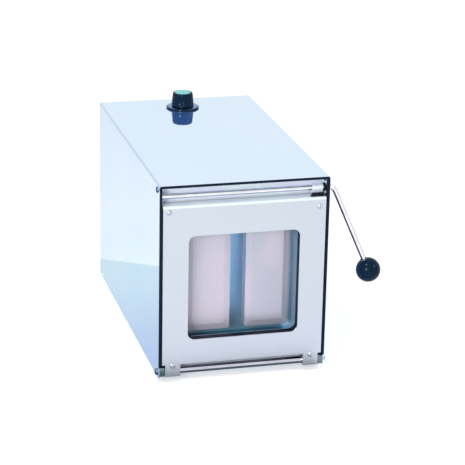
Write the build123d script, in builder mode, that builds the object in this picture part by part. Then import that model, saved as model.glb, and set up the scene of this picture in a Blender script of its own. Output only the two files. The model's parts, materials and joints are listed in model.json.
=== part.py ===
from build123d import *
import os
from math import acos, cos, pi, radians, sin

# Laboratory paddle blender: a steel casing with a drop-down glazed door, two blending paddles
# driven by an eccentric shaft, a latch lever with a ball grip and a timer knob on top.
#
# Millimetres. +Z is up, the door faces -Y and +X is on the right of a person facing the door.
# The origin is on the bench, at the centre of the casing's footprint.

# ------------------------------------------------------------------ casing
case_width = 240.0
case_depth = 430.0
case_height = 280.0
foot_height = 8.0
cover_sheet = 1.5
cover_bend = 3.0
frame_sheet = 1.5
rear_recess = 1.0
rear_flange = 13.0
rear_panel_gap = 0.6
tray_wall = 21.0
tray_front_wall = 32.0
tray_bend = 2.5

# ------------------------------------------------------------------ front, recess and door
edge_seal_width = 3.2
edge_seal_depth = 7.0
edge_seal_lip = 1.0
recess_height = 29.0
recess_depth = 20.0
beam_lip = 1.5
beam_flange = 18.0
beam_tab_reach = 12.0
beam_tab_corner = 1.0
door_play = 0.3
door_sheet = 1.5
door_pan_depth = 17.5
door_edge_bend = 3.0
leg_end_gap = 3.0
leg_side_gap = 0.5
leg_width = 21.4
cutout_height = 17.0
wide_part_start = 19.0
window_width = 158.0
window_height = 152.0
window_corner = 10.0
window_sill = 54.5
window_frame_band = 11.0
window_frame_corner = 15.5
spacer_tube_radius = 5.0
upper_screw_inset = 8.5
left_screw_drop = 8.5
right_screw_drop = 13.0
leg_screw_rise = 17.6
keeper_side_gap = 0.8
keeper_front_gap = 1.2
glass_thickness = 5.0
glass_overlap = 8.0
glass_chamfer = 0.6
glass_seal_thickness = 1.0
glass_seal_band = 5.0
back_plate_margin = 2.0
back_plate_edge = 1.0
back_plate_corner = 2.0
gasket_free = 0.3
gasket_thickness = 2.2
gasket_band = 9.0
gasket_setback = 2.0

# ------------------------------------------------------------------ hinge
hinge_height = 7.0
hinge_setback = 9.0
hinge_rod_radius = 5.0
hinge_block_width = 7.6
hinge_block_top = 8.0
hinge_block_front = 7.0
hinge_block_round = 4.0
hinge_block_base = 1.5
hinge_cap_radius = 4.8
hinge_cap_height = 3.4
knuckle_top = 16.0
knuckle_wall = 1.0

# ------------------------------------------------------------------ lever and latch
lever_setback = 14.0
lever_rise = 10.5
lever_radius = 3.5
lever_bend = 12.0
lever_run = 8.5
ball_radius = 17.5
ball_side = 65.0
ball_drop = 127.5
ball_flat = 1.4
ball_socket = 13.0
bush_radius = 5.0
bush_flange_radius = 5.8
bush_flange = 2.4
bush_outside = 1.0
cam_length = 15.0
cam_radius = 4.8
cam_lobe_radius = 2.2
cam_gap = 0.45
cam_side_gap = 1.5
keeper_height = 2.2
keeper_width = 21.0
keeper_slant = 6.0
keeper_depth = 12.5
keeper_corner = 0.8

# ------------------------------------------------------------------ blending chamber and paddles
chamber_width = 172.0
chamber_floor = 38.0
chamber_roof_gap = 14.5
chamber_depth = 43.0
chamber_corner = 8.0
chamber_flange_base = 4.0
paddle_width = 63.0
paddle_head_gap = 10.0
paddle_thickness = 18.0
paddle_gap = 22.0
paddle_sheet = 2.0
paddle_rise = 16.0
paddle_setback = 32.0
paddle_bevel_depth = 2.2
paddle_bevel_run = 9.0
paddle_corner = 3.0
paddle_boss_radius = 10.0
push_rod_radius = 6.0
push_rod_spread = 108.0
seal_length = 4.5
seal_radius = 13.0

# ------------------------------------------------------------------ drive
bulkhead_thickness = 10.0
bulkhead_width = 200.0
bulkhead_drop = 38.0
bulkhead_corner = 6.0
guide_radius = 10.0
guide_flange_radius = 14.0
guide_flange = 4.0
guide_clearance = 3.0
crank_reach = 75.0
crank_throw = 6.5
shaft_radius = 6.0
hub_radius = 15.0
roller_radius = 27.5
roller_width = 13.0
slot_spare = 0.25
yoke_wall = 11.0
yoke_overhang = 12.0
yoke_corner = 8.0
cheek_side_gap = 11.5
cheek_thickness = 10.0
cheek_height = 60.0
cheek_round = 24.0
bearing_radius = 16.0
pulley_side_gap = 12.0
pulley_width = 16.0
crank_pulley_radius = 42.0
motor_pulley_radius = 14.0
pulley_groove = 1.5
pulley_grooves = 3
pulley_land = 0.6
belt_thickness = 2.5
belt_width = 12.0
belt_gap = 0.3
shaft_left_proud = 4.0
shaft_proud = 3.0

# ------------------------------------------------------------------ motor
belt_span = 136.0
motor_rise = 68.5
motor_core_radius = 45.0
motor_fin_height = 5.0
motor_fins = 20
motor_fin_width = 3.0
motor_body_length = 84.0
motor_left = -66.0
bell_radius = 47.0
bell_length = 20.0
bell_nose_radius = 18.0
bell_nose = 4.0
bell_taper = 12.0
motor_shaft_radius = 7.0
cradle_width = 84.0
cradle_foot_width = 96.0
cradle_sheet = 4.0
cradle_spread = 44.0
cradle_rib = 5.0
cradle_reach = 34.0
cradle_corner = 6.0
capacitor_side_gap = 7.0
capacitor_setback = 80.0
capacitor_radius = 17.5
capacitor_height = 72.0
capacitor_edge = 2.0

# ------------------------------------------------------------------ knob and timer
knob_rear_inset = 51.0
skirt_radius = 25.0
skirt_height = 2.8
skirt_gap = 0.6
skirt_bevel = 1.2
knob_base_radius = 17.0
knob_top_radius = 15.2
knob_height = 21.0
knob_flutes = 18
knob_flute_radius = 1.3
knob_flute_offset = 0.2
knob_edge = 1.0
knob_cap_radius = 12.0
knob_cap_height = 1.8
knob_cap_proud = 0.6
spindle_radius = 3.0
spindle_grip = 16.0
timer_size = 42.0
timer_depth = 38.0
timer_corner = 4.0
timer_neck_radius = 5.0
timer_neck_height = 1.4
timer_bore_depth = 20.0

# ------------------------------------------------------------------ rear fittings
inlet_side_inset = 42.0
inlet_rise = 44.0
inlet_width = 27.6
inlet_height = 20.0
inlet_depth = 24.0
inlet_socket_depth = 15.0
inlet_wall = 2.0
inlet_ears = 50.0
inlet_ear_height = 23.0
inlet_ear_thickness = 3.0
inlet_ear_corner = 3.0
inlet_corner = 1.0
inlet_socket_corner = 3.0
pin_blade = 4.0
pin_thickness = 2.0
pin_length = 12.0
pin_pitch = 7.0
pin_rise = 2.0
switch_spacing = 44.0
switch_width = 15.0
switch_height = 21.0
switch_rim = 1.8
switch_rim_height = 2.0
switch_depth = 20.0
switch_corner = 1.5
rocker_pocket = 9.0
rocker_axis_rise = 0.5
rocker_heel = 3.5
rocker_heel_half = 3.0
rocker_low = 3.6
rocker_middle = 2.2
rocker_high = 1.2
rocker_skirt = 0.6
rocker_lip = 0.8
rocker_gap = 0.4
rocker_pin_radius = 1.2
rocker_pin_proud = 1.2
vent_columns = 3
vent_rows = 9
vent_length = 44.0
vent_width = 3.0
vent_pitch_x = 58.0
vent_pitch_z = 9.0
vent_drop = 98.0
board_side_gap = 22.5
board_rise = 72.0
board_width = 92.0
board_height = 66.0
board_thickness = 1.6
board_lift = 10.0
board_corner_inset = 5.0
spacer_radius = 3.5
transformer = (-22.0, -8.0, 34.0, 30.0, 22.0)
heat_sink = (20.0, 14.0, 28.0, 12.0, 16.0)
can_radius = 6.0
can_height = 18.0
can_places = ((10.0, -16.0), (26.0, -16.0))

# ------------------------------------------------------------------ feet and fasteners
foot_radius = 14.0
foot_side_inset = 28.0
foot_front_inset = 50.0
foot_rear_inset = 40.0
foot_taper = 4.0
foot_edge = 1.5
screw_head_radius = 3.75
screw_head_height = 1.9
screw_radius = 2.0
screw_length = 8.0
screw_gap = 0.1
screw_socket = 2.4
screw_crown = 0.5
screw_socket_depth = 0.6
rear_screw_inset = 33.6
side_screw_height = 6.0
side_screw_front = 65.0
side_screw_middle = 95.0
side_screw_rear = 25.0
beam_screw_rise = 10.5
beam_screw_radius = 4.5
beam_screw_height = 2.4

# ------------------------------------------------------------------ running fits
running_gap = 0.05
press_gap = 0.02
seat_gap = 0.1
small_chamfer = 0.5
shaft_chamfer = 0.8
body_gap = 0.3

# ------------------------------------------------------------------ places worked out from the sizes
front = -case_depth / 2
rear = case_depth / 2
bottom = foot_height
top = foot_height + case_height
inner_x = case_width / 2 - cover_sheet
inner_top = top - cover_sheet
tray_floor = bottom + frame_sheet

recess_face = front + recess_depth
door_top = top - recess_height
door_half = inner_x - edge_seal_width - door_play
door_bottom = bottom + leg_end_gap
wide_bottom = bottom + wide_part_start
cutout_top = bottom + cutout_height
pan_inside = front + door_sheet
pan_rear = front + door_pan_depth
back_plate_rear = pan_rear + door_sheet
window_z = bottom + window_sill + window_height / 2
glass_front = pan_rear - glass_thickness
frame_rear = glass_front - glass_seal_thickness
flange_face = back_plate_rear + gasket_free + gasket_thickness

hinge_z = bottom + hinge_height
hinge_y = front + hinge_setback
block_inside = inner_x - hinge_block_width
leg_half = block_inside - leg_side_gap
cutout_half = leg_half - leg_width

lever_y = front + lever_setback
lever_z = door_top + lever_rise
beam_bottom = door_top + beam_lip
hinge_place = (hinge_y, hinge_z)
lever_place = (lever_y, lever_z)

chamber_bottom = bottom + chamber_floor
chamber_top = beam_bottom - chamber_roof_gap
chamber_height = chamber_top - chamber_bottom
chamber_z = (chamber_bottom + chamber_top) / 2
chamber_back = flange_face + chamber_depth
bulkhead_face = chamber_back + frame_sheet
bulkhead_rear = bulkhead_face + bulkhead_thickness
bulkhead_top = top - bulkhead_drop
paddle_x = paddle_gap / 2 + paddle_width / 2
paddle_front = front + paddle_setback
paddle_back = paddle_front + paddle_thickness
paddle_height = chamber_height - paddle_rise - paddle_head_gap
paddle_z = chamber_bottom + paddle_rise + paddle_height / 2
crank_y = bulkhead_rear + crank_reach
crank_z = paddle_z
motor_y = crank_y + belt_span
motor_z = tray_floor + motor_rise
rod_heights = (crank_z - push_rod_spread / 2, crank_z + push_rod_spread / 2)

# The slides follow the crank at a steady rate, so the slot leaves room for the sine that a real pin follows.
steady_rate = 2 / pi
sine_error = crank_throw * ((1 - steady_rate**2) ** 0.5 - steady_rate * acos(steady_rate))
slot_half = roller_radius + sine_error + slot_spare
yoke_front = crank_y - slot_half - yoke_wall
yoke_back = crank_y + slot_half + yoke_wall
slot_height = 2 * (roller_radius + crank_throw + slot_spare)
guide_end = yoke_front - crank_throw - guide_clearance
cheek_inside = paddle_x + roller_width / 2 + cheek_side_gap
pulley_start = cheek_inside + cheek_thickness + pulley_side_gap
pulley_end = pulley_start + pulley_width
shaft_end = cheek_inside + cheek_thickness + shaft_left_proud

knob_y = rear - knob_rear_inset
knob_base = top + skirt_gap + skirt_height


# ------------------------------------------------------------------ planes and small helpers
def facing(y):
    """A plane that looks at the viewer in front of the door: local x is +X, local y is +Z."""
    return Plane(origin=(0, y, 0), x_dir=(1, 0, 0), z_dir=(0, -1, 0))


def rearward(y):
    """A plane that looks backwards: local x is -X, local y is +Z."""
    return Plane(origin=(0, y, 0), x_dir=(-1, 0, 0), z_dir=(0, 1, 0))


def rightward(x):
    """A plane that looks to the right: local x is +Y, local y is +Z."""
    return Plane(origin=(x, 0, 0), x_dir=(0, 1, 0), z_dir=(1, 0, 0))


def leftward(x):
    """A plane that looks to the left: local x is -Y, local y is +Z."""
    return Plane(origin=(x, 0, 0), x_dir=(0, -1, 0), z_dir=(-1, 0, 0))


def level(z):
    """A horizontal plane that looks up: local x is +X, local y is +Y."""
    return Plane(origin=(0, 0, z))


def bars(plane, places, radius, length, mode=Mode.ADD):
    """Round bars, or round holes, that start on a plane and run along its normal."""
    with BuildSketch(plane) as section:
        with Locations(*places):
            Circle(radius)
    extrude(section.sketch, amount=length, mode=mode)


def plate(plane, centre, width, height, thickness, corner=0.0, mode=Mode.ADD):
    """A flat plate, or a pocket, with round corners, that starts on a plane."""
    with BuildSketch(plane) as section:
        with Locations(centre):
            if corner > 0:
                RectangleRounded(width, height, corner)
            else:
                Rectangle(width, height)
    extrude(section.sketch, amount=thickness, mode=mode)


def screws(plane, places, head_radius=screw_head_radius, head_height=screw_head_height,
           length=screw_length):
    """Button-head screws with a hexagon socket, seated on a plane that looks the way the heads do."""
    with BuildSketch(plane) as heads:
        with Locations(*places):
            Circle(head_radius)
    extrude(heads.sketch, amount=head_height)
    crowns = edges(Select.LAST).group_by(Axis(plane.origin, plane.z_dir))[-1]
    chamfer(crowns, length=head_height * screw_crown)
    with BuildSketch(plane.offset(head_height)) as sockets:
        with Locations(*places):
            RegularPolygon(screw_socket / 2, 6)
    extrude(sockets.sketch, amount=-head_height * screw_socket_depth, mode=Mode.SUBTRACT)
    bars(plane, places, screw_radius, -length)


def pan_screws(plane, places, length):
    """Small pan-head screws, seated on a plane that looks the way the heads do."""
    bars(plane, places, screw_head_radius, screw_head_height)
    bars(plane, places, screw_radius, -length)


def write(piece, name):
    """Labels a finished piece and writes it under its own name."""
    piece.part.label = name
    export_step(piece.part, f"parts/{name}.step")


os.makedirs("parts", exist_ok=True)

both = (-1, 1)

# ------------------------------------------------------------------ casing cover
# One sheet folded into a U over the machine, with a narrow flange turned in along its rear edges.
side_screw_z = bottom + side_screw_height
side_rows = (front + side_screw_front, motor_y, rear - side_screw_middle, rear - side_screw_rear)
side_places = [(y, side_screw_z) for y in side_rows]
beam_screw_place = (lever_y, lever_z + beam_screw_rise)
flange_y = rear - rear_recess - frame_sheet
rear_screw_x = inner_x - rear_flange / 2
rear_screw_rows = (bottom + rear_screw_inset, (bottom + top) / 2, top - rear_screw_inset)
rear_places = [(side * rear_screw_x, z) for side in both for z in rear_screw_rows]
rear_places += [(side * case_width / 4, inner_top - rear_flange / 2) for side in both]

with BuildPart() as casing_cover:
    with BuildSketch(facing(rear)):
        with Locations((0, (bottom + top) / 2)):
            Rectangle(case_width, case_height)
    extrude(amount=case_depth - edge_seal_lip)
    fillet(casing_cover.edges().filter_by(Axis.Y).group_by(Axis.Z)[-1], radius=cover_bend)
    with BuildSketch(facing(flange_y - cover_sheet)):
        with Locations((0, (bottom + inner_top) / 2)):
            Rectangle(2 * inner_x, inner_top - bottom)
        fillet(vertices().group_by(Axis.Y)[-1], radius=cover_bend - cover_sheet)
    extrude(amount=case_depth, mode=Mode.SUBTRACT)
    with BuildSketch(facing(rear)):
        with Locations((0, (bottom + inner_top) / 2)):
            Rectangle(2 * inner_x, inner_top - bottom)
    extrude(amount=rear - flange_y, mode=Mode.SUBTRACT)
    with BuildSketch(facing(rear)):
        with Locations((0, (bottom + inner_top - rear_flange) / 2)):
            Rectangle(2 * (inner_x - rear_flange), inner_top - rear_flange - bottom)
    extrude(amount=case_depth, mode=Mode.SUBTRACT)
    bars(rightward(-case_width / 2), side_places, screw_radius + screw_gap, case_width, Mode.SUBTRACT)
    bars(rightward(-case_width / 2), [beam_screw_place, hinge_place], screw_radius + screw_gap, case_width,
         Mode.SUBTRACT)
    bars(rightward(0), [lever_place], bush_radius + press_gap, case_width, Mode.SUBTRACT)
    bars(level(0), [(0, knob_y)], timer_neck_radius + screw_gap, 2 * top, Mode.SUBTRACT)
    bars(facing(rear), rear_places, screw_radius + screw_gap, rear_flange, Mode.SUBTRACT)
write(casing_cover, "casing_cover")

# ------------------------------------------------------------------ base tray
# A folded tray that closes the casing from below and carries the drive.
tray_front = flange_face + frame_sheet
tray_rear = flange_y - cover_sheet
tray_length = tray_rear - tray_front
tray_mid = (tray_front + tray_rear) / 2
foot_rows = (front + foot_front_inset, rear - foot_rear_inset)
foot_x = case_width / 2 - foot_side_inset
foot_places = [(side * foot_x, y) for side in both for y in foot_rows]

with BuildPart() as base_tray:
    with BuildSketch(level(bottom)):
        with Locations((0, tray_mid)):
            Rectangle(2 * inner_x, tray_length)
    extrude(amount=tray_wall)
    fillet(base_tray.edges().filter_by(Axis.X).group_by(Axis.Z)[0], radius=tray_bend)
    with BuildSketch(level(tray_floor)):
        with Locations((0, tray_mid)):
            Rectangle(2 * (inner_x - frame_sheet), tray_length - 2 * frame_sheet)
    extrude(amount=tray_wall, mode=Mode.SUBTRACT)
    plate(facing(tray_front + frame_sheet), (0, bottom + tray_front_wall / 2 + tray_bend),
          2 * (inner_x - frame_sheet), tray_front_wall - tray_bend, frame_sheet)
    bars(rightward(-case_width / 2), side_places, screw_radius + screw_gap, case_width, Mode.SUBTRACT)
    bars(level(0), foot_places, screw_radius + screw_gap, tray_floor, Mode.SUBTRACT)
write(base_tray, "base_tray")

# ------------------------------------------------------------------ rear panel
panel_top = inner_top - rear_panel_gap
panel_bottom = bottom + rear_panel_gap
rear_views = [(-x, z) for x, z in rear_places]
inlet_x = case_width / 2 - inlet_side_inset
inlet_z = bottom + inlet_rise
switch_x = inlet_x - switch_spacing
inlet_place = (inlet_x, inlet_z)
switch_place = (switch_x, inlet_z)

with BuildPart() as rear_panel:
    plate(rearward(flange_y), (0, (panel_bottom + panel_top) / 2), 2 * (inner_x - rear_panel_gap),
          panel_top - panel_bottom, frame_sheet)
    with BuildSketch(rearward(flange_y)):
        with Locations((0, top - vent_drop)):
            with GridLocations(vent_pitch_x, vent_pitch_z, vent_columns, vent_rows):
                Rectangle(vent_length, vent_width)
    extrude(amount=frame_sheet, mode=Mode.SUBTRACT)
    plate(rearward(flange_y), inlet_place, inlet_width, inlet_height, frame_sheet, mode=Mode.SUBTRACT)
    plate(rearward(flange_y), switch_place, switch_width, switch_height, frame_sheet, mode=Mode.SUBTRACT)
    bars(rearward(flange_y), rear_views, screw_radius + screw_gap, frame_sheet, Mode.SUBTRACT)
write(rear_panel, "rear_panel")

# ------------------------------------------------------------------ front beam
# A folded channel across the casing above the door. Its end tabs carry the lever's bushes.
tab_top = inner_top - cover_bend

with BuildPart() as front_beam:
    with BuildSketch(rightward(-inner_x + frame_sheet)):
        with BuildLine():
            Polyline(
                (recess_face, beam_bottom),
                (recess_face + beam_flange, beam_bottom),
                (recess_face + beam_flange, beam_bottom + frame_sheet),
                (recess_face + frame_sheet, beam_bottom + frame_sheet),
                (recess_face + frame_sheet, inner_top - frame_sheet),
                (recess_face + beam_flange, inner_top - frame_sheet),
                (recess_face + beam_flange, inner_top),
                (recess_face, inner_top),
                close=True,
            )
        make_face()
    extrude(amount=2 * (inner_x - frame_sheet))
    fillet(front_beam.edges().filter_by(Axis.X).group_by(Axis.Y)[0], radius=frame_sheet)
    with BuildSketch(rightward(inner_x - frame_sheet)):
        with Locations((recess_face + (frame_sheet - beam_tab_reach) / 2, (beam_bottom + tab_top) / 2)):
            RectangleRounded(beam_tab_reach + frame_sheet, tab_top - beam_bottom, beam_tab_corner)
    extrude(amount=frame_sheet)
    mirror(about=Plane.YZ)
    bars(rightward(-inner_x), [beam_screw_place], screw_radius + screw_gap, 2 * inner_x, Mode.SUBTRACT)
    bars(rightward(-inner_x), [lever_place], bush_radius + press_gap, 2 * inner_x, Mode.SUBTRACT)
write(front_beam, "front_beam")

# ------------------------------------------------------------------ edge seal
# The dark strip along both sides and the top of the opening. Its lip covers the sheet's front edge.
seal_base = hinge_z + hinge_block_top + leg_side_gap
seal_inside_top = inner_top - edge_seal_width

with BuildPart() as edge_seal:
    with BuildSketch(facing(front + edge_seal_lip)):
        with Locations((0, (seal_base + top) / 2)):
            Rectangle(case_width, top - seal_base)
        fillet(vertices().group_by(Axis.Y)[-1], radius=cover_bend)
    extrude(amount=edge_seal_lip)
    with BuildSketch(facing(front + edge_seal_depth)):
        with Locations((0, (seal_base + inner_top) / 2)):
            Rectangle(2 * inner_x, inner_top - seal_base)
        fillet(vertices().group_by(Axis.Y)[-1], radius=cover_bend - cover_sheet)
    extrude(amount=edge_seal_depth - edge_seal_lip)
    plate(facing(front + edge_seal_depth), (0, (seal_base + seal_inside_top) / 2),
          2 * (inner_x - edge_seal_width), seal_inside_top - seal_base, edge_seal_depth, mode=Mode.SUBTRACT)
write(edge_seal, "edge_seal")

# ------------------------------------------------------------------ blending chamber
# A deep-drawn steel box, open to the front, whose broad flange closes the casing round it.
rod_places = [(side * paddle_x, z) for side in both for z in rod_heights]
flange_bottom = bottom + chamber_flange_base

with BuildPart() as chamber_box:
    plate(facing(flange_face + frame_sheet), (0, (flange_bottom + beam_bottom) / 2), 2 * inner_x,
          beam_bottom - flange_bottom, frame_sheet)
    plate(facing(chamber_back + frame_sheet), (0, chamber_z), chamber_width + 2 * frame_sheet,
          chamber_height + 2 * frame_sheet, chamber_depth + frame_sheet, chamber_corner + frame_sheet)
    plate(facing(chamber_back), (0, chamber_z), chamber_width, chamber_height, chamber_depth + frame_sheet,
          chamber_corner, Mode.SUBTRACT)
    bars(facing(bulkhead_face), rod_places, guide_radius + press_gap, frame_sheet, Mode.SUBTRACT)
write(chamber_box, "chamber_box")

gasket_width = chamber_width + 2 * gasket_setback
gasket_height = chamber_height + 2 * gasket_setback

with BuildPart() as chamber_gasket:
    plate(facing(flange_face), (0, chamber_z), gasket_width + 2 * gasket_band,
          gasket_height + 2 * gasket_band, gasket_thickness, chamber_corner + gasket_band)
    plate(facing(flange_face), (0, chamber_z), gasket_width, gasket_height, gasket_thickness, chamber_corner,
          Mode.SUBTRACT)
write(chamber_gasket, "chamber_gasket")

# ------------------------------------------------------------------ hinge
block_front = hinge_y - hinge_block_front
block_top = hinge_z + hinge_block_top
block_bottom = bottom + hinge_block_base

with BuildPart() as hinge_blocks:
    with BuildSketch(rightward(block_inside)):
        with Locations(((block_front + flange_face) / 2, (block_bottom + block_top) / 2)):
            Rectangle(flange_face - block_front, block_top - block_bottom)
        fillet(vertices().sort_by(Axis.Y)[-2:].sort_by(Axis.X)[0], radius=hinge_block_round)
        with Locations(hinge_place):
            Circle(hinge_rod_radius + press_gap, mode=Mode.SUBTRACT)
    extrude(amount=hinge_block_width)
    mirror(about=Plane.YZ)
write(hinge_blocks, "hinge_blocks")

with BuildPart() as hinge_rod:
    bars(rightward(-inner_x), [hinge_place], hinge_rod_radius, 2 * inner_x)
    bars(rightward(-inner_x), [hinge_place], screw_radius + screw_gap, screw_length, Mode.SUBTRACT)
    bars(leftward(inner_x), [(-hinge_y, hinge_z)], screw_radius + screw_gap, screw_length, Mode.SUBTRACT)
write(hinge_rod, "hinge_rod")

with BuildPart() as hinge_caps:
    screws(rightward(case_width / 2), [hinge_place], hinge_cap_radius, hinge_cap_height)
    mirror(about=Plane.YZ)
write(hinge_caps, "hinge_caps")

# ------------------------------------------------------------------ casing fasteners and feet
with BuildPart() as casing_screws:
    pan_screws(rightward(case_width / 2), side_places, cover_sheet + frame_sheet + screw_radius)
    mirror(about=Plane.YZ)
write(casing_screws, "casing_screws")

with BuildPart() as beam_screws:
    screws(rightward(case_width / 2), [beam_screw_place], beam_screw_radius, beam_screw_height,
           cover_sheet + frame_sheet + screw_radius)
    mirror(about=Plane.YZ)
write(beam_screws, "beam_screws")

with BuildPart() as rear_screws:
    pan_screws(rearward(flange_y + frame_sheet), rear_views, frame_sheet + cover_sheet + screw_radius)
write(rear_screws, "rear_screws")

with BuildPart() as feet:
    with BuildSketch(level(0)):
        with Locations(*foot_places):
            Circle(foot_radius)
    extrude(amount=foot_height, taper=-foot_taper)
    chamfer(feet.edges().group_by(Axis.Z)[0], length=foot_edge)
    bars(level(0), foot_places, screw_head_radius + body_gap, foot_height / 2, Mode.SUBTRACT)
    bars(level(0), foot_places, screw_radius + screw_gap, foot_height, Mode.SUBTRACT)
write(feet, "feet")

head_seat = Plane(origin=(0, 0, foot_height / 2), x_dir=(1, 0, 0), z_dir=(0, 0, -1))

with BuildPart() as foot_screws:
    pan_screws(head_seat, [(x, -y) for x, y in foot_places], foot_height / 2 + frame_sheet + screw_radius)
write(foot_screws, "foot_screws")

# ------------------------------------------------------------------ door plate
# A folded steel pan with the window, two hinge legs below and a cut-out between them for the rod.
pan_height = door_top - wide_bottom
pan_z = (door_top + wide_bottom) / 2
upper_screw_x = door_half - upper_screw_inset
leg_screw_x = leg_half - leg_width / 2
leg_screw_z = bottom + leg_screw_rise
leg_screws = [(side * leg_screw_x, leg_screw_z) for side in both]
upper_screws = [(-upper_screw_x, door_top - left_screw_drop), (upper_screw_x, door_top - right_screw_drop)]

with BuildPart() as door_plate:
    plate(facing(pan_rear), (0, pan_z), 2 * door_half, pan_height, door_pan_depth)
    front_edges = door_plate.faces().sort_by(Axis.Y)[0].edges()
    fillet(front_edges.filter_by(Axis.X).sort_by(Axis.Z)[-1], radius=door_edge_bend)
    plate(facing(pan_rear), (0, pan_z - door_sheet), 2 * (door_half - door_sheet), pan_height,
          door_pan_depth - door_sheet, mode=Mode.SUBTRACT)
    for side in both:
        leg_x = side * leg_screw_x
        plate(facing(pan_inside), (leg_x, (door_bottom + wide_bottom) / 2), leg_width,
              wide_bottom - door_bottom + 2 * door_sheet, door_sheet)
    plate(facing(pan_inside), (0, (cutout_top + door_bottom) / 2 - door_sheet), 2 * cutout_half,
          cutout_top - door_bottom + 2 * door_sheet, door_sheet, mode=Mode.SUBTRACT)
    plate(facing(pan_inside), (0, window_z), window_width, window_height, door_sheet, window_corner,
          Mode.SUBTRACT)
    bars(facing(pan_inside), leg_screws + upper_screws, screw_radius + screw_gap, door_sheet, Mode.SUBTRACT)
write(door_plate, "door_plate")

# ------------------------------------------------------------------ window: frame, glass and seal
with BuildPart() as window_frame:
    plate(facing(frame_rear), (0, window_z), window_width + 2 * window_frame_band,
          window_height + 2 * window_frame_band, frame_rear - pan_inside, window_frame_corner)
    plate(facing(frame_rear), (0, window_z), window_width, window_height, frame_rear - pan_inside,
          window_corner, Mode.SUBTRACT)
write(window_frame, "window_frame")

with BuildPart() as glass_seal:
    plate(facing(glass_front), (0, window_z), window_width + 2 * glass_seal_band,
          window_height + 2 * glass_seal_band, glass_seal_thickness, window_corner + glass_seal_band)
    plate(facing(glass_front), (0, window_z), window_width, window_height, glass_seal_thickness,
          window_corner, Mode.SUBTRACT)
write(glass_seal, "glass_seal")

with BuildPart() as window_glass:
    plate(facing(pan_rear), (0, window_z), window_width + 2 * glass_overlap,
          window_height + 2 * glass_overlap, glass_thickness, window_corner + glass_overlap)
    chamfer(window_glass.edges().group_by(Axis.Y)[-1], length=glass_chamfer)
write(window_glass, "window_glass")

back_top = door_top - back_plate_edge
back_bottom = wide_bottom + back_plate_edge

with BuildPart() as door_back_plate:
    plate(facing(back_plate_rear), (0, (back_bottom + back_top) / 2), 2 * (door_half - back_plate_edge),
          back_top - back_bottom, door_sheet, back_plate_corner)
    plate(facing(back_plate_rear), (0, window_z), window_width + 2 * back_plate_margin,
          window_height + 2 * back_plate_margin, door_sheet, window_corner, Mode.SUBTRACT)
    bars(facing(back_plate_rear), upper_screws, screw_radius + screw_gap, door_sheet, Mode.SUBTRACT)
write(door_back_plate, "door_back_plate")

# ------------------------------------------------------------------ door hinge knuckles, spacers and screws
knuckle_bottom = hinge_z - hinge_rod_radius - knuckle_wall
knuckle_height = hinge_z + knuckle_top - knuckle_bottom

with BuildPart() as door_knuckles:
    with BuildSketch(rightward(cutout_half)):
        with Locations(((pan_inside + pan_rear) / 2, knuckle_bottom + knuckle_height / 2)):
            Rectangle(pan_rear - pan_inside, knuckle_height)
        fillet(vertices().sort_by(Axis.Y)[:2].sort_by(Axis.X)[-1], radius=hinge_rod_radius)
        with Locations(hinge_place):
            Circle(hinge_rod_radius + running_gap, mode=Mode.SUBTRACT)
    extrude(amount=leg_width)
    mirror(about=Plane.YZ)
    bars(facing(pan_inside), leg_screws, screw_radius + screw_gap, -screw_length - screw_gap, Mode.SUBTRACT)
write(door_knuckles, "door_knuckles")

with BuildPart() as door_spacers:
    bars(facing(pan_rear), upper_screws, spacer_tube_radius, pan_rear - pan_inside)
    bars(facing(pan_rear), upper_screws, screw_radius + screw_gap, pan_rear - pan_inside, Mode.SUBTRACT)
write(door_spacers, "door_spacers")

with BuildPart() as door_screws:
    screws(facing(front), leg_screws, length=door_sheet + screw_length)
    screws(facing(front), upper_screws, length=door_pan_depth + door_sheet)
write(door_screws, "door_screws")

# ------------------------------------------------------------------ latch keeper on the door's top edge
keeper_right = door_half - keeper_side_gap
keeper_front = front + door_edge_bend + keeper_front_gap

with BuildPart() as door_keeper:
    with BuildSketch(level(door_top)):
        with BuildLine():
            Polyline(
                (keeper_right, keeper_front),
                (keeper_right, keeper_front + keeper_depth),
                (keeper_right - keeper_width + keeper_slant, keeper_front + keeper_depth),
                (keeper_right - keeper_width, keeper_front),
                close=True,
            )
        make_face()
        fillet(vertices(), radius=keeper_corner)
    extrude(amount=keeper_height)
    chamfer(door_keeper.edges().group_by(Axis.Z)[-1], length=small_chamfer)
write(door_keeper, "door_keeper")

# ------------------------------------------------------------------ lever: rod, ball, cam and bushes
lever_plane = facing(lever_y)
ball_place = (case_width / 2 + ball_side, lever_z - ball_drop)
elbow_place = (case_width / 2 + lever_run, lever_z)
arm_x = ball_place[0] - elbow_place[0]
arm_z = ball_place[1] - elbow_place[1]
arm_length = (arm_x**2 + arm_z**2) ** 0.5
arm_way = Vector(arm_x / arm_length, 0, arm_z / arm_length)
rod_tip = (ball_place[0] - arm_way.X * (ball_radius - ball_flat - ball_socket),
           ball_place[1] - arm_way.Z * (ball_radius - ball_flat - ball_socket))
blind_end = inner_x - body_gap

with BuildPart() as lever_rod:
    with BuildLine(lever_plane):
        FilletPolyline((-blind_end, lever_z), elbow_place, rod_tip, radius=lever_bend)
    with BuildSketch(rightward(-blind_end)):
        with Locations(lever_place):
            Circle(lever_radius)
    sweep()
write(lever_rod, "lever_rod")

ball_centre = Vector(ball_place[0], lever_y, ball_place[1])
ball_plane = Plane(origin=ball_centre - arm_way * (ball_radius - ball_flat), x_dir=(0, 1, 0), z_dir=-arm_way)

with BuildPart() as lever_ball:
    with Locations(ball_centre):
        Sphere(ball_radius)
    split(bisect_by=ball_plane, keep=Keep.BOTTOM)
    chamfer(lever_ball.edges().filter_by(GeomType.CIRCLE), length=small_chamfer)
    bars(ball_plane, [(0, 0)], lever_radius + press_gap, -ball_socket - press_gap, Mode.SUBTRACT)
write(lever_ball, "lever_ball")

cam_reach = lever_z - door_top - keeper_height - cam_gap
cam_right = keeper_right - cam_side_gap

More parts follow.
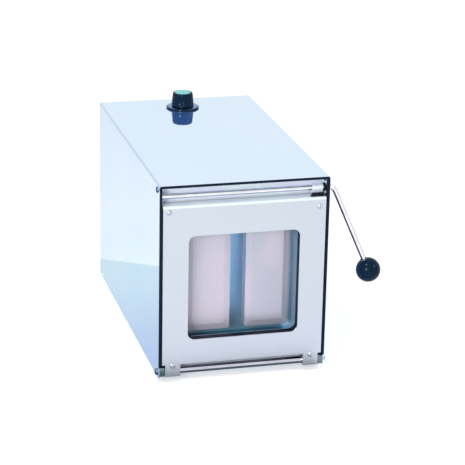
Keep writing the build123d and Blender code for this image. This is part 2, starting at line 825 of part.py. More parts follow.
with BuildPart() as latch_cam:
    with BuildSketch(rightward(cam_right - cam_length)):
        with Locations(lever_place):
            Circle(cam_radius)
        with Locations((lever_y, lever_z - cam_reach + cam_lobe_radius)):
            Circle(cam_lobe_radius)
        make_hull()
        with Locations(lever_place):
            Circle(lever_radius + press_gap, mode=Mode.SUBTRACT)
    extrude(amount=cam_length)
write(latch_cam, "latch_cam")

with BuildPart() as lever_bushes:
    bush_start = inner_x - frame_sheet - bush_flange
    bars(rightward(bush_start), [lever_place], bush_flange_radius, bush_flange)
    bars(rightward(bush_start), [lever_place], bush_radius, case_width / 2 + bush_outside - bush_start)
    bars(leftward(-bush_start), [(-lever_y, lever_z)], bush_flange_radius, bush_flange)
    bars(leftward(-bush_start), [(-lever_y, lever_z)], bush_radius, bush_flange + frame_sheet)
    bars(rightward(-inner_x), [lever_place], lever_radius + running_gap, 2 * inner_x + case_width,
         Mode.SUBTRACT)
write(lever_bushes, "lever_bushes")

# ------------------------------------------------------------------ paddles
# Pressed steel pans with bevelled faces. Two bosses behind each take the push rods.
for side, name in ((-1, "left_paddle"), (1, "right_paddle")):
    place = (side * paddle_x, paddle_z)
    with BuildPart() as one_paddle:
        with BuildSketch(facing(paddle_back)):
            with Locations(place):
                RectangleRounded(paddle_width, paddle_height, paddle_corner)
        extrude(amount=paddle_thickness - paddle_bevel_depth)
        with BuildSketch(facing(paddle_front + paddle_bevel_depth)):
            with Locations(place):
                RectangleRounded(paddle_width, paddle_height, paddle_corner)
        with BuildSketch(facing(paddle_front)):
            with Locations(place):
                RectangleRounded(paddle_width - 2 * paddle_bevel_run, paddle_height - 2 * paddle_bevel_run,
                                 paddle_corner)
        loft(ruled=True)
        plate(facing(paddle_back), place, paddle_width - 2 * paddle_sheet, paddle_height - 2 * paddle_sheet,
              paddle_thickness - paddle_bevel_depth - paddle_sheet, paddle_corner / 2, Mode.SUBTRACT)
        bars(facing(paddle_back), [(side * paddle_x, z) for z in rod_heights], paddle_boss_radius,
             paddle_thickness - paddle_bevel_depth)
    write(one_paddle, name)

# ------------------------------------------------------------------ push rods and yokes
for side, name in ((-1, "left"), (1, "right")):
    with BuildPart() as push_rods:
        bars(facing(yoke_front), [(side * paddle_x, z) for z in rod_heights], push_rod_radius,
             yoke_front - paddle_back)
        chamfer(push_rods.edges().filter_by(GeomType.CIRCLE), length=small_chamfer)
    write(push_rods, f"{name}_push_rods")
    with BuildPart() as yoke:
        with BuildSketch(rightward(side * paddle_x - roller_width / 2)):
            with Locations(((yoke_front + yoke_back) / 2, crank_z)):
                RectangleRounded(yoke_back - yoke_front, push_rod_spread + 2 * yoke_overhang, yoke_corner)
            with Locations((crank_y, crank_z)):
                RectangleRounded(2 * slot_half, slot_height, yoke_corner, mode=Mode.SUBTRACT)
        extrude(amount=roller_width)
    write(yoke, f"{name}_yoke")

# ------------------------------------------------------------------ bulkhead, guides, shaft seals
with BuildPart() as bulkhead:
    plate(facing(bulkhead_rear), (0, (tray_floor + bulkhead_top) / 2), bulkhead_width,
          bulkhead_top - tray_floor, bulkhead_thickness, bulkhead_corner)
    bars(facing(bulkhead_rear), rod_places, guide_radius + press_gap, bulkhead_thickness, Mode.SUBTRACT)
write(bulkhead, "bulkhead")

with BuildPart() as guide_bushes:
    bars(facing(guide_end), rod_places, guide_radius, guide_end - chamber_back)
    bars(facing(bulkhead_rear + guide_flange), rod_places, guide_flange_radius, guide_flange)
    bars(facing(guide_end), rod_places, push_rod_radius + running_gap, guide_end - chamber_back,
         Mode.SUBTRACT)
write(guide_bushes, "guide_bushes")

with BuildPart() as shaft_seals:
    with BuildSketch(facing(chamber_back)):
        with Locations(*rod_places):
            Circle(seal_radius)
    extrude(amount=seal_length, taper=20)
    bars(facing(chamber_back), rod_places, push_rod_radius + running_gap, seal_length, Mode.SUBTRACT)
write(shaft_seals, "shaft_seals")

# ------------------------------------------------------------------ crank: cheeks, bearings, shaft, rollers
with BuildPart() as crank_cheeks:
    with BuildSketch(rightward(cheek_inside)):
        with Locations((crank_y, crank_z)):
            Circle(cheek_round)
        with Locations((bulkhead_rear + cheek_thickness / 2, crank_z)):
            Rectangle(cheek_thickness, cheek_height)
        make_hull()
        with Locations((crank_y, crank_z)):
            Circle(bearing_radius, mode=Mode.SUBTRACT)
    extrude(amount=cheek_thickness)
    mirror(about=Plane.YZ)
write(crank_cheeks, "crank_cheeks")

with BuildPart() as crank_bearings:
    with BuildSketch(rightward(cheek_inside)):
        with Locations((crank_y, crank_z)):
            Circle(bearing_radius - press_gap)
            Circle(shaft_radius + running_gap, mode=Mode.SUBTRACT)
    extrude(amount=cheek_thickness)
    mirror(about=Plane.YZ)
write(crank_bearings, "crank_bearings")

hub_places = ((-1, crank_z + crank_throw), (1, crank_z - crank_throw))

with BuildPart() as crankshaft:
    bars(rightward(-shaft_end), [(crank_y, crank_z)], shaft_radius, shaft_end + pulley_end + shaft_proud)
    for side, z in hub_places:
        bars(rightward(side * paddle_x - roller_width / 2), [(crank_y, z)], hub_radius, roller_width)
    chamfer(crankshaft.edges().group_by(Axis.X)[-1], length=shaft_chamfer)
write(crankshaft, "crankshaft")

with BuildPart() as crank_rollers:
    for side, z in hub_places:
        bars(rightward(side * paddle_x - roller_width / 2), [(crank_y, z)], roller_radius, roller_width)
        bars(rightward(side * paddle_x - roller_width / 2), [(crank_y, z)], hub_radius + press_gap,
             roller_width, Mode.SUBTRACT)
write(crank_rollers, "crank_rollers")


def grooved_rim(radius):
    """The half section of a ribbed belt pulley's rim, from its first side to its last."""
    step = pulley_width / (pulley_grooves + 1)
    points = [(pulley_start, radius)]
    for i in range(pulley_grooves):
        centre = pulley_start + step * (i + 1)
        reach = step / 2 - pulley_land / 2
        points += [(centre - reach, radius), (centre, radius - pulley_groove), (centre + reach, radius)]
    return points + [(pulley_end, radius)]


def pulley(radius, bore, y, z, name):
    """A ribbed belt pulley round an axis along X, with its boss towards the machine."""
    section = Plane(origin=(0, y, z), x_dir=(1, 0, 0), z_dir=(0, -1, 0))
    with BuildPart() as wheel:
        with BuildSketch(section):
            with BuildLine():
                Polyline((pulley_end, bore), (pulley_start, bore), *grooved_rim(radius), close=True)
            make_face()
        revolve(axis=Axis((0, y, z), (1, 0, 0)))
    write(wheel, name)


pulley(crank_pulley_radius, shaft_radius + press_gap, crank_y, crank_z, "crank_pulley")
pulley(motor_pulley_radius, motor_shaft_radius + press_gap, motor_y, motor_z, "motor_pulley")

# ------------------------------------------------------------------ drive belt
belt_start = pulley_start + (pulley_width - belt_width) / 2

with BuildPart() as drive_belt:
    with BuildSketch(rightward(belt_start)):
        with Locations((crank_y, crank_z)):
            Circle(crank_pulley_radius + belt_gap + belt_thickness)
        with Locations((motor_y, motor_z)):
            Circle(motor_pulley_radius + belt_gap + belt_thickness)
        make_hull()
    extrude(amount=belt_width)
    with BuildSketch(rightward(belt_start)):
        with Locations((crank_y, crank_z)):
            Circle(crank_pulley_radius + belt_gap)
        with Locations((motor_y, motor_z)):
            Circle(motor_pulley_radius + belt_gap)
        make_hull()
    extrude(amount=belt_width, mode=Mode.SUBTRACT)
write(drive_belt, "drive_belt")

# ------------------------------------------------------------------ motor
motor_place = (motor_y, motor_z)
motor_right = motor_left + motor_body_length

with BuildPart() as motor_body:
    with BuildSketch(rightward(motor_left)):
        with Locations(motor_place):
            Circle(motor_core_radius)
            with PolarLocations(motor_core_radius, motor_fins):
                Rectangle(2 * motor_fin_height, motor_fin_width)
            Circle(motor_shaft_radius + body_gap, mode=Mode.SUBTRACT)
    extrude(amount=motor_body_length)
write(motor_body, "motor_body")

with BuildPart() as motor_bells:
    for start, way in ((motor_left, -1), (motor_right, 1)):
        with BuildSketch(rightward(start)):
            with Locations(motor_place):
                Circle(bell_radius)
        extrude(amount=way * bell_length, taper=bell_taper)
        bars(rightward(start), [motor_place], bell_nose_radius, way * (bell_length + bell_nose))
    bars(rightward(motor_left - 2 * bell_length), [motor_place], motor_shaft_radius + running_gap,
         motor_body_length + 4 * bell_length, Mode.SUBTRACT)
write(motor_bells, "motor_bells")

with BuildPart() as motor_shaft:
    bars(rightward(motor_left - bell_length), [motor_place], motor_shaft_radius,
         pulley_end + shaft_proud - motor_left + bell_length)
    chamfer(motor_shaft.edges().filter_by(GeomType.CIRCLE), length=shaft_chamfer)
write(motor_shaft, "motor_shaft")

cradle_x = (motor_left + motor_right) / 2
saddle_radius = motor_core_radius + motor_fin_height

with BuildPart() as motor_cradle:
    plate(level(tray_floor), (cradle_x, motor_y), cradle_width, cradle_foot_width, cradle_sheet,
          cradle_corner)
    for side in both:
        with BuildSketch(rightward(cradle_x + side * cradle_spread / 2 - cradle_rib / 2)):
            with Locations((motor_y, (tray_floor + motor_z) / 2)):
                Rectangle(2 * cradle_reach, motor_z - tray_floor)
            with Locations(motor_place):
                Circle(saddle_radius + seat_gap, mode=Mode.SUBTRACT)
        extrude(amount=cradle_rib)
write(motor_cradle, "motor_cradle")

capacitor_place = (-inner_x + capacitor_side_gap + capacitor_radius, motor_y - capacitor_setback)

with BuildPart() as motor_capacitor:
    bars(level(tray_floor), [capacitor_place], capacitor_radius, capacitor_height)
    chamfer(motor_capacitor.edges().filter_by(GeomType.CIRCLE), length=capacitor_edge)
write(motor_capacitor, "motor_capacitor")

# ------------------------------------------------------------------ timer and knob
with BuildPart() as timer_body:
    plate(level(inner_top - timer_depth), (0, knob_y), timer_size, timer_size, timer_depth, timer_corner)
    bars(level(inner_top), [(0, knob_y)], timer_neck_radius, cover_sheet + timer_neck_height)
    bars(level(inner_top - timer_bore_depth), [(0, knob_y)], spindle_radius + running_gap, timer_depth,
         Mode.SUBTRACT)
write(timer_body, "timer_body")

with BuildPart() as timer_spindle:
    bars(level(inner_top - timer_bore_depth + body_gap), [(0, knob_y)], spindle_radius,
         knob_base + spindle_grip - inner_top + timer_bore_depth - body_gap)
    chamfer(timer_spindle.edges().group_by(Axis.Z)[-1], length=small_chamfer)
write(timer_spindle, "timer_spindle")

with BuildPart() as knob_skirt:
    bars(level(top + skirt_gap), [(0, knob_y)], skirt_radius, skirt_height)
    chamfer(knob_skirt.edges().group_by(Axis.Z)[-1], length=skirt_bevel)
    bars(level(top + skirt_gap), [(0, knob_y)], timer_neck_radius + body_gap,
         timer_neck_height - skirt_gap + body_gap, Mode.SUBTRACT)
    bars(level(top + skirt_gap), [(0, knob_y)], spindle_radius + press_gap, skirt_height, Mode.SUBTRACT)
write(knob_skirt, "knob_skirt")

knob_top = knob_base + knob_height

with BuildPart() as knob_body:
    with BuildSketch(level(knob_base)):
        with Locations((0, knob_y)):
            Circle(knob_base_radius)
    with BuildSketch(level(knob_top)):
        with Locations((0, knob_y)):
            Circle(knob_top_radius)
    loft(ruled=True)
    chamfer(knob_body.edges().group_by(Axis.Z)[-1], length=knob_edge)
    for i in range(knob_flutes):
        turn = radians(360 / knob_flutes * i)
        outward = Vector(cos(turn), sin(turn), 0)
        foot = Vector(0, knob_y, knob_base) + outward * (knob_base_radius + knob_flute_offset)
        lean = Vector(0, 0, knob_height) - outward * (knob_base_radius - knob_top_radius)
        with BuildSketch(Plane(origin=foot, z_dir=lean)) as flute:
            Circle(knob_flute_radius)
        extrude(flute.sketch, amount=lean.length, both=True, mode=Mode.SUBTRACT)
    bars(level(knob_top - knob_cap_height + knob_cap_proud), [(0, knob_y)], knob_cap_radius + press_gap,
         knob_cap_height, Mode.SUBTRACT)
    bars(level(knob_base), [(0, knob_y)], spindle_radius + press_gap, spindle_grip + press_gap, Mode.SUBTRACT)
write(knob_body, "knob_body")

with BuildPart() as knob_cap:
    bars(level(knob_top - knob_cap_height + knob_cap_proud), [(0, knob_y)], knob_cap_radius, knob_cap_height)
    chamfer(knob_cap.edges().group_by(Axis.Z)[-1], length=small_chamfer)
write(knob_cap, "knob_cap")

# ------------------------------------------------------------------ rear: power inlet and mains switch
panel_face = flange_y + frame_sheet
socket_width = inlet_width - 2 * inlet_wall
socket_height = inlet_height - 2 * inlet_wall

with BuildPart() as power_inlet:
    plate(rearward(panel_face), inlet_place, inlet_ears, inlet_ear_height, inlet_ear_thickness,
          inlet_ear_corner)
    plate(rearward(panel_face - inlet_depth), inlet_place, inlet_width - 2 * screw_gap,
          inlet_height - 2 * screw_gap, inlet_depth, inlet_corner)
    plate(rearward(panel_face + inlet_ear_thickness), inlet_place, socket_width, socket_height,
          -inlet_socket_depth, inlet_socket_corner, Mode.SUBTRACT)
    for offset_x, offset_z in ((-pin_pitch, -pin_rise), (0.0, pin_rise), (pin_pitch, -pin_rise)):
        plate(rearward(panel_face + inlet_ear_thickness - inlet_socket_depth),
              (inlet_x + offset_x, inlet_z + offset_z), pin_thickness, pin_blade, pin_length)
write(power_inlet, "power_inlet")

rocker_width = switch_width - 2 * switch_rim
rocker_height = switch_height - 2 * switch_rim
rocker_axis_y = panel_face + rocker_axis_rise
rocker_axis = (rocker_axis_y, inlet_z)
pin_half = rocker_width / 2 + rocker_pin_proud

with BuildPart() as switch_frame:
    plate(rearward(panel_face), switch_place, switch_width + 2 * switch_rim, switch_height + 2 * switch_rim,
          switch_rim_height, switch_corner)
    plate(rearward(panel_face - switch_depth), switch_place, switch_width - 2 * screw_gap,
          switch_height - 2 * screw_gap, switch_depth)
    plate(rearward(panel_face + switch_rim_height), switch_place, rocker_width, rocker_height,
          -rocker_pocket, mode=Mode.SUBTRACT)
    bars(rightward(-switch_x - pin_half - running_gap), [rocker_axis], rocker_pin_radius + running_gap,
         2 * (pin_half + running_gap), Mode.SUBTRACT)
write(switch_frame, "switch_frame")

with BuildPart() as mains_rocker:
    rocker_half = rocker_height / 2 - rocker_gap
    with BuildSketch(rightward(-switch_x - rocker_width / 2 + rocker_gap)):
        with BuildLine():
            Polyline(
                (rocker_axis_y - rocker_heel, inlet_z - rocker_heel_half),
                (rocker_axis_y + rocker_skirt, inlet_z - rocker_half),
                (rocker_axis_y + rocker_low, inlet_z - rocker_half + rocker_lip),
                (rocker_axis_y + rocker_middle, inlet_z),
                (rocker_axis_y + rocker_high, inlet_z + rocker_half),
                (rocker_axis_y - rocker_high, inlet_z + rocker_half),
                (rocker_axis_y - rocker_heel, inlet_z + rocker_heel_half),
                close=True,
            )
        make_face()
    extrude(amount=rocker_width - 2 * rocker_gap)
    bars(rightward(-switch_x - pin_half), [rocker_axis], rocker_pin_radius, 2 * pin_half)
write(mains_rocker, "mains_rocker")

# ------------------------------------------------------------------ control board
# It stands on spacers inside the rear panel, beside the inlet and below the vents.
board_x = inner_x - board_side_gap - board_width / 2
board_z = bottom + board_rise
board_back = flange_y - board_lift
board_front = board_back - board_thickness
board_corners = [(board_x + sx * (board_width / 2 - board_corner_inset),
                  board_z + sz * (board_height / 2 - board_corner_inset)) for sx in both for sz in both]

with BuildPart() as board_spacers:
    bars(facing(flange_y), board_corners, spacer_radius, board_lift)
write(board_spacers, "board_spacers")

with BuildPart() as control_board:
    plate(facing(board_back), (board_x, board_z), board_width, board_height, board_thickness)
    for part_x, part_z, part_width, part_height, part_depth in (transformer, heat_sink):
        plate(facing(board_front), (board_x + part_x, board_z + part_z), part_width, part_height, part_depth)
    bars(facing(board_front), [(board_x + x, board_z + z) for x, z in can_places], can_radius, can_height)
write(control_board, "control_board")
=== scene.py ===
# %% [markdown]
# # A laboratory paddle blender
#
# The real machine is a stainless steel box on a laboratory bench. Behind the glazed door two steel paddles
# beat in turn, a bent lever with a ball grip latches the door, and a knob on top sets the time.
#
# The metal parts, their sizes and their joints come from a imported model. This lesson gives that model its
# finishes, rebuilds the pieces whose curves deserve a finer mesh, and lights it as a catalogue would.

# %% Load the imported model
import json
from math import atan2, cos, degrees, pi, radians, sin

import bpy
import bmesh
from mathutils import Matrix, Vector


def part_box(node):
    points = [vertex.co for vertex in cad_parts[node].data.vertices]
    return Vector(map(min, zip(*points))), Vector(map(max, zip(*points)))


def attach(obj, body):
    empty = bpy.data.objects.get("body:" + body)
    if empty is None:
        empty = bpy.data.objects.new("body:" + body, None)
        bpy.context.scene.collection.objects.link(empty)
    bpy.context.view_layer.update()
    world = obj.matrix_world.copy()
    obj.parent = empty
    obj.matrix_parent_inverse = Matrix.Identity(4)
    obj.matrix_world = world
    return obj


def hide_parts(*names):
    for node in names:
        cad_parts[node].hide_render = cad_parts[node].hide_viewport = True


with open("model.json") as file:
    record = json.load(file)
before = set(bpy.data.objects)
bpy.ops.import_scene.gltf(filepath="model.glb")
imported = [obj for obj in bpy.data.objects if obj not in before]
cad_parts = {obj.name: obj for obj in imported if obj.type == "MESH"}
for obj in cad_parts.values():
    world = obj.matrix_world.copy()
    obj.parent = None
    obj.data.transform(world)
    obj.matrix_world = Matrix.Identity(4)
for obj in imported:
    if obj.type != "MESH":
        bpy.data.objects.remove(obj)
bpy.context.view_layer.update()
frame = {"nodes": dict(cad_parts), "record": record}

scene = bpy.context.scene

# %% [markdown]
# ## The camera
#
# The photograph was taken from a little to the left of the door and from above, through a long lens: the
# casing's edges hardly converge. Azimuth is measured from the direction that faces the door squarely, and
# the slight roll is what the hand-held camera had. A long lens far away keeps the same flat perspective.

# %% Place the camera
IMAGE_SIDE = 465
FOCAL_PIXELS = 1900.0
SENSOR = 36.0
CAMERA_PLACE = Vector((-0.6509, -2.5802, 1.0775))
CAMERA_AZIMUTH = 0.2615
CAMERA_DROP = 0.3382
CAMERA_ROLL = 0.0207
UP = Vector((0, 0, 1))


def look_along(azimuth, drop, roll):
    """The camera's turn for a view that starts along +Y, swings to +X by azimuth and looks down by drop."""
    ahead = Vector((sin(azimuth) * cos(drop), cos(azimuth) * cos(drop), -sin(drop)))
    level_right = ahead.cross(UP).normalized()
    level_up = level_right.cross(ahead)
    right = level_right * cos(roll) + level_up * sin(roll)
    up = level_up * cos(roll) - level_right * sin(roll)
    return Matrix((right, up, -ahead)).transposed()


camera_data = bpy.data.cameras.new("catalogue_camera")
camera_data.sensor_width = SENSOR
camera_data.lens = SENSOR * FOCAL_PIXELS / IMAGE_SIDE
camera_data.clip_end = 50.0
camera = bpy.data.objects.new("catalogue_camera", camera_data)
camera.matrix_world = Matrix.Translation(CAMERA_PLACE) @ look_along(
    CAMERA_AZIMUTH, CAMERA_DROP, CAMERA_ROLL).to_4x4()
scene.collection.objects.link(camera)
scene.camera = camera
print("lens:", round(camera_data.lens, 1), "mm")

# %% [markdown]
# ## Writing shaders as sums
#
# A procedural finish is a small calculation on the place of each point of the surface. Node by node it
# takes many lines, so `Wire` wraps one socket and lets Python's own signs add the Math nodes:
# `1 - mask * 0.5` reads as what it does. `Tree` is a set of nodes with one method that adds any other node,
# and `Finish` is the tree of one material, with the few node groups that every metal and plastic needs.

# %% A socket that can be added and multiplied
class Wire:
    """One output socket. Sums and products of wires add Math nodes to the same tree."""

    def __init__(self, tree, socket):
        self.tree = tree
        self.socket = socket

    def maths(self, operation, first, second):
        return self.tree.node("ShaderNodeMath", {"operation": operation}, {0: first, 1: second})

    def __add__(self, other):
        return self.maths("ADD", self, other)

    def __radd__(self, other):
        return self.maths("ADD", other, self)

    def __sub__(self, other):
        return self.maths("SUBTRACT", self, other)

    def __rsub__(self, other):
        return self.maths("SUBTRACT", other, self)

    def __mul__(self, other):
        return self.maths("MULTIPLY", self, other)

    def __rmul__(self, other):
        return self.maths("MULTIPLY", other, self)


# %% One way to add a node
class Tree:
    """The node tree of a material or a world, emptied first."""

    def __init__(self, holder):
        self.holder = holder
        holder.use_nodes = True
        holder.node_tree.nodes.clear()

    def node(self, kind, settings=None, inputs=None, output=0):
        """Adds a node: its settings first, then the values or wires of its sockets. Gives one output."""
        made = self.holder.node_tree.nodes.new(kind)
        for name, value in (settings or {}).items():
            setattr(made, name, value)
        for key, value in (inputs or {}).items():
            if isinstance(value, Wire):
                self.holder.node_tree.links.new(value.socket, made.inputs[key])
            else:
                made.inputs[key].default_value = value
        return Wire(self, made.outputs[output]) if made.outputs else made


# %% One material under construction
NOISE_ROUGHNESS = 0.55
MIX_FIRST, MIX_SECOND, MIX_RESULT = 6, 7, 2  # where a Mix node keeps its two colours and the mixed one


class Finish(Tree):
    """A material, the nodes that feed it and its surface shader."""

    def __init__(self, name):
        super().__init__(bpy.data.materials.new(name))

    def place(self, stretch):
        """The point on the surface in metres, in the part's own frame, scaled along each axis."""
        point = self.node("ShaderNodeTexCoord", output="Object")
        return self.node("ShaderNodeVectorMath", {"operation": "MULTIPLY"}, {0: point, 1: stretch})

    def axis(self, letter):
        """How far the point lies along one axis, in metres."""
        point = self.node("ShaderNodeTexCoord", output="Object")
        return self.node("ShaderNodeSeparateXYZ", inputs={0: point}, output=letter)

    def noise(self, scale, stretch=(1, 1, 1), detail=3.0):
        """Cloudy noise from 0 to 1. Scale counts its lumps per metre."""
        return self.node("ShaderNodeTexNoise", inputs={
            "Vector": self.place(stretch), "Scale": scale, "Detail": detail, "Roughness": NOISE_ROUGHNESS})

    def between(self, low, high, wire):
        """How far a wire has gone from low to high, eased and held to 0 and 1 outside them."""
        return self.node("ShaderNodeMapRange", {"interpolation_type": "SMOOTHSTEP"}, {
            "Value": wire, "From Min": low, "From Max": high})

    def blend(self, first, second, amount):
        """A colour that goes from the first to the second."""
        return self.node("ShaderNodeMix", {"data_type": "RGBA"}, {
            0: amount, MIX_FIRST: first, MIX_SECOND: second}, output=MIX_RESULT)

    def bump(self, height, depth, strength):
        """A normal that leans as if the surface rose by depth metres where height is 1."""
        return self.node("ShaderNodeBump", inputs={
            "Height": height, "Distance": depth, "Strength": strength})

    def principled(self, **sockets):
        """A Principled shader. Underlines in the names stand for spaces."""
        named = {name.replace("_", " "): value for name, value in sockets.items()}
        return self.node("ShaderNodeBsdfPrincipled", inputs=named)

    def mixed(self, amount, first, second):
        """One shader that turns into another."""
        return self.node("ShaderNodeMixShader", inputs={0: amount, 1: first, 2: second})

    def surface(self, **sockets):
        """Ends the tree in a Principled shader."""
        return self.show(self.principled(**sockets))

    def show(self, shader):
        """Ends the tree in a shader, and gives the finished material."""
        self.node("ShaderNodeOutputMaterial", inputs={"Surface": shader})
        return self.holder


def tone(red, green, blue):
    """A colour read as 0 to 255 on screen, as the linear light that a shader takes."""
    shares = (red / 255, green / 255, blue / 255)
    light = [share / 12.92 if share < 0.0404 else ((share + 0.055) / 1.055) ** 2.4 for share in shares]
    return (*light, 1.0)


finishes = {}
print("white reads as", tone(255, 255, 255))

# %% [markdown]
# ## Light, floor and background
#
# Polished steel shows its surroundings more than itself, so the room is the first material. The world is
# white to the camera and in reflections, and dimmer as a source of light, so that colours come out as they
# are written. The floor is pale and keeps the soft shadow. Three soft lamps give the round pieces their
# highlights, and the front one also reaches into the recess and the chamber, where the room's light is thin.

# %% The white room
WHITE = (1.0, 1.0, 1.0, 1.0)
ROOM_FILL = 0.62
scene.view_settings.view_transform = "Standard"


def seen_or_mirrored(tree):
    """1 for rays that the eye, a mirror or glass sends out, and 0 for those that carry soft light."""
    total = tree.node("ShaderNodeLightPath", output="Is Camera Ray")
    for name in ("Is Glossy Ray", "Is Transmission Ray"):
        ray = tree.node("ShaderNodeLightPath", output=name)
        total = tree.node("ShaderNodeMath", {"operation": "MAXIMUM"}, {0: total, 1: ray})
    return total


scene.world = bpy.data.worlds.new("white_room")
room = Tree(scene.world)
strength = ROOM_FILL + seen_or_mirrored(room) * (1.0 - ROOM_FILL)
background = room.node("ShaderNodeBackground", inputs={"Color": WHITE, "Strength": strength})
room.node("ShaderNodeOutputWorld", inputs={"Surface": background})
print("room light:", ROOM_FILL)

# %% The pale floor
FLOOR_HALF = 8.0
FLOOR_COLOUR = (0.82, 0.83, 0.85, 1.0)
EYE_LIFT = 0.42
MIRROR_LIFT = 0.25


def flat_stage(name, corners, height, material):
    """A flat stage piece with its corners in order, at a height above the ground."""
    mesh = bpy.data.meshes.new(name)
    mesh.from_pydata([(x, y, height) for x, y in corners], [], [range(len(corners))])
    mesh.materials.append(material)
    made = bpy.data.objects.new(name, mesh)
    scene.collection.objects.link(made)
    return made


pale = Finish("pale_floor")
matt = pale.node("ShaderNodeBsdfDiffuse", inputs={"Color": FLOOR_COLOUR})
eye = pale.node("ShaderNodeLightPath", output="Is Camera Ray")
lift = eye * EYE_LIFT + (seen_or_mirrored(pale) - eye) * MIRROR_LIFT
glow = pale.node("ShaderNodeEmission", inputs={"Color": WHITE, "Strength": lift})
floor_material = pale.show(pale.node("ShaderNodeAddShader", inputs={0: matt, 1: glow}))
floor_corners = [(x * FLOOR_HALF, y * FLOOR_HALF) for x, y in ((-1, -1), (1, -1), (1, 1), (-1, 1))]
flat_stage("floor", floor_corners, 0.0, floor_material)
print("floor side:", 2 * FLOOR_HALF, "m")

# %% Three soft lamps
LAMP_AIM = Vector((0, 0, 0.15))


def soft_lamp(name, place, side, power):
    """A square lamp that faces the machine's middle. Its side is in metres and its power in watts."""
    lamp = bpy.data.lights.new(name, "AREA")
    lamp.shape = "SQUARE"
    lamp.size = side
    lamp.energy = power
    holder = bpy.data.objects.new(name, lamp)
    turn = (LAMP_AIM - Vector(place)).to_track_quat("-Z", "Y").to_matrix().to_4x4()
    holder.matrix_world = Matrix.Translation(place) @ turn
    scene.collection.objects.link(holder)
    print(name, power, "W")


soft_lamp("key_lamp", (-0.8, -0.9, 2.4), 0.5, 17.0)
soft_lamp("side_lamp", (2.0, -1.2, 1.6), 0.45, 9.0)
soft_lamp("front_lamp", (-1.6, -2.5, 1.15), 0.8, 50.0)

# %% [markdown]
# ## The bench in the mirror
# The picture has a white ground, but its polished steel still mirrors the cool bench that it was taken on:
# the left wall turns lavender toward its foot, with the bench's far edge as a slanting line across it, and
# the hinge's bar has a grey-green lower half. Painting that on the steel would be wrong from every other
# side. Two flat cards on the ground, which only mirror rays see, bring the bench back instead. Their glow is
# painted: the card beside the machine holds the bench's cool tone with painted shade beside its front, and
# the card before the door darkens into a painted shadow under the machine's front. Painting that on the steel
# would be wrong from every other
# side. Two flat cards on the ground, which only mirror rays see, bring the bench back instead.

# %% Lay the cards
CARD_HEIGHT = 0.0006
CARD_REACH = 0.60
BENCH_FRONT = -0.80
BENCH_EDGE_NEAR = 0.3045
BENCH_EDGE_FAR = 0.0107
BENCH_AND_SHADE_TONES = ((0.56, 0.63, 0.80, 1.0), (0.79, 0.90, 0.91, 1.0))
BENCH_CHANGE = (-0.25, 0.25)
HINGE_SHADE_FRONT = -0.285
HINGE_SHADE_UNDER = 0.02
HINGE_SHADE_DARKEST = 0.005
HINGE_SHADOW_TONES = ((0.90, 0.92, 0.95, 1.0), (0.12, 0.17, 0.17, 1.0))
FADE = (-0.22, -0.46)
FADE_TONE = (0.94, 0.96, 0.98, 1.0)


def mirror_card(name, corners, tones, change):
    """A card that only mirrors see. Its tone changes along Y, and is near white further to the front."""
    paper = Finish(name)
    depth = paper.axis("Y")
    colour = paper.blend(*tones, paper.between(*change, depth))
    colour = paper.blend(colour, FADE_TONE, paper.between(*FADE, depth))
    card = flat_stage(name, corners, CARD_HEIGHT, paper.show(
        paper.node("ShaderNodeEmission", inputs={"Color": colour})))
    card.visible_camera = card.visible_diffuse = card.visible_shadow = card.visible_transmission = False


casing_low, casing_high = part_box("casing_cover")
hinge_back = casing_low.y + HINGE_SHADE_UNDER
# Partly the bench's cool tone, partly painted shade: it deepens to lavender beside the machine's front.
mirror_card("bench_and_shade_beside", (
    (casing_low.x, BENCH_FRONT), (casing_low.x, BENCH_EDGE_NEAR),
    (-CARD_REACH, BENCH_EDGE_FAR), (-CARD_REACH, BENCH_FRONT)), BENCH_AND_SHADE_TONES, BENCH_CHANGE)
# Painted shadow: this card darkens towards the machine's front, as the floor under it would be shaded.
mirror_card("bench_shadow_before", (
    (casing_low.x, HINGE_SHADE_FRONT), (casing_high.x, HINGE_SHADE_FRONT),
    (casing_high.x, hinge_back), (casing_low.x, hinge_back)),
    HINGE_SHADOW_TONES, (HINGE_SHADE_FRONT, casing_low.y - HINGE_SHADE_DARKEST))
print("bench reaches", CARD_REACH, "m to the left")

# %% [markdown]
# ## The casing's bright sheet
#
# The folded cover is bright rolled stainless steel: a mirror with faint clouds where cloths have rubbed it.
# A pure mirror would show the knob black. On the real sheet a cool haze lies over every reflection, from the
# fine grain of the rolls, so a Mix Shader lays a little blue diffuse light over the metal. At the folds a
# narrow band on each side of the bend is painted grey-green: a painted reflection of the rounded bend.

# %% Casing sheet
HAZE = 0.17
HAZE_TONE = (0.10, 0.30, 1.0, 1.0)
FOLD_START = 0.0035
FOLD_FULL = 0.0010


def casing_sheet():
    """Bright rolled steel: a mirror with faint clouds, a painted reflection at its folds, under a thin blue
    haze.
    """
    steel = Finish("casing_steel")
    cloud = steel.noise(7.0, (1, 1, 1.6), detail=4.0)
    rubbed = steel.between(0.50, 0.74, steel.noise(16.0, (1.0, 0.5, 1.0), detail=5.0))
    rolled = steel.noise(60.0, (1, 14, 14), detail=2.0)
    colour = steel.blend(tone(238, 251, 249), tone(229, 247, 247),
                         steel.between(0.35, 0.72, cloud) * 0.6 + rubbed * 0.25)
    # Painted reflection: where the top meets each side, the folds are painted grey-green like the line a
    # rounded bend mirrors.
    top = steel.between(casing_high.z - FOLD_START, casing_high.z - FOLD_FULL, steel.axis("Z"))
    left = steel.between(casing_low.x + FOLD_START, casing_low.x + FOLD_FULL, steel.axis("X"))
    right = steel.between(casing_high.x - FOLD_START, casing_high.x - FOLD_FULL, steel.axis("X"))
    colour = steel.blend(colour, tone(200, 216, 221), top * (left + right) * 0.8)
    mirror = steel.principled(
        Base_Color=colour, Metallic=1.0, Roughness=0.035 + rubbed * 0.05 + rolled * 0.015,
        Normal=steel.bump(cloud + rolled * 0.01, 0.0004, 0.1))
    haze = steel.node("ShaderNodeBsdfDiffuse", inputs={"Color": HAZE_TONE})
    return steel.show(steel.mixed(HAZE, mirror, haze))


finishes["casing_steel"] = casing_sheet()
print("casing sheet haze:", HAZE)
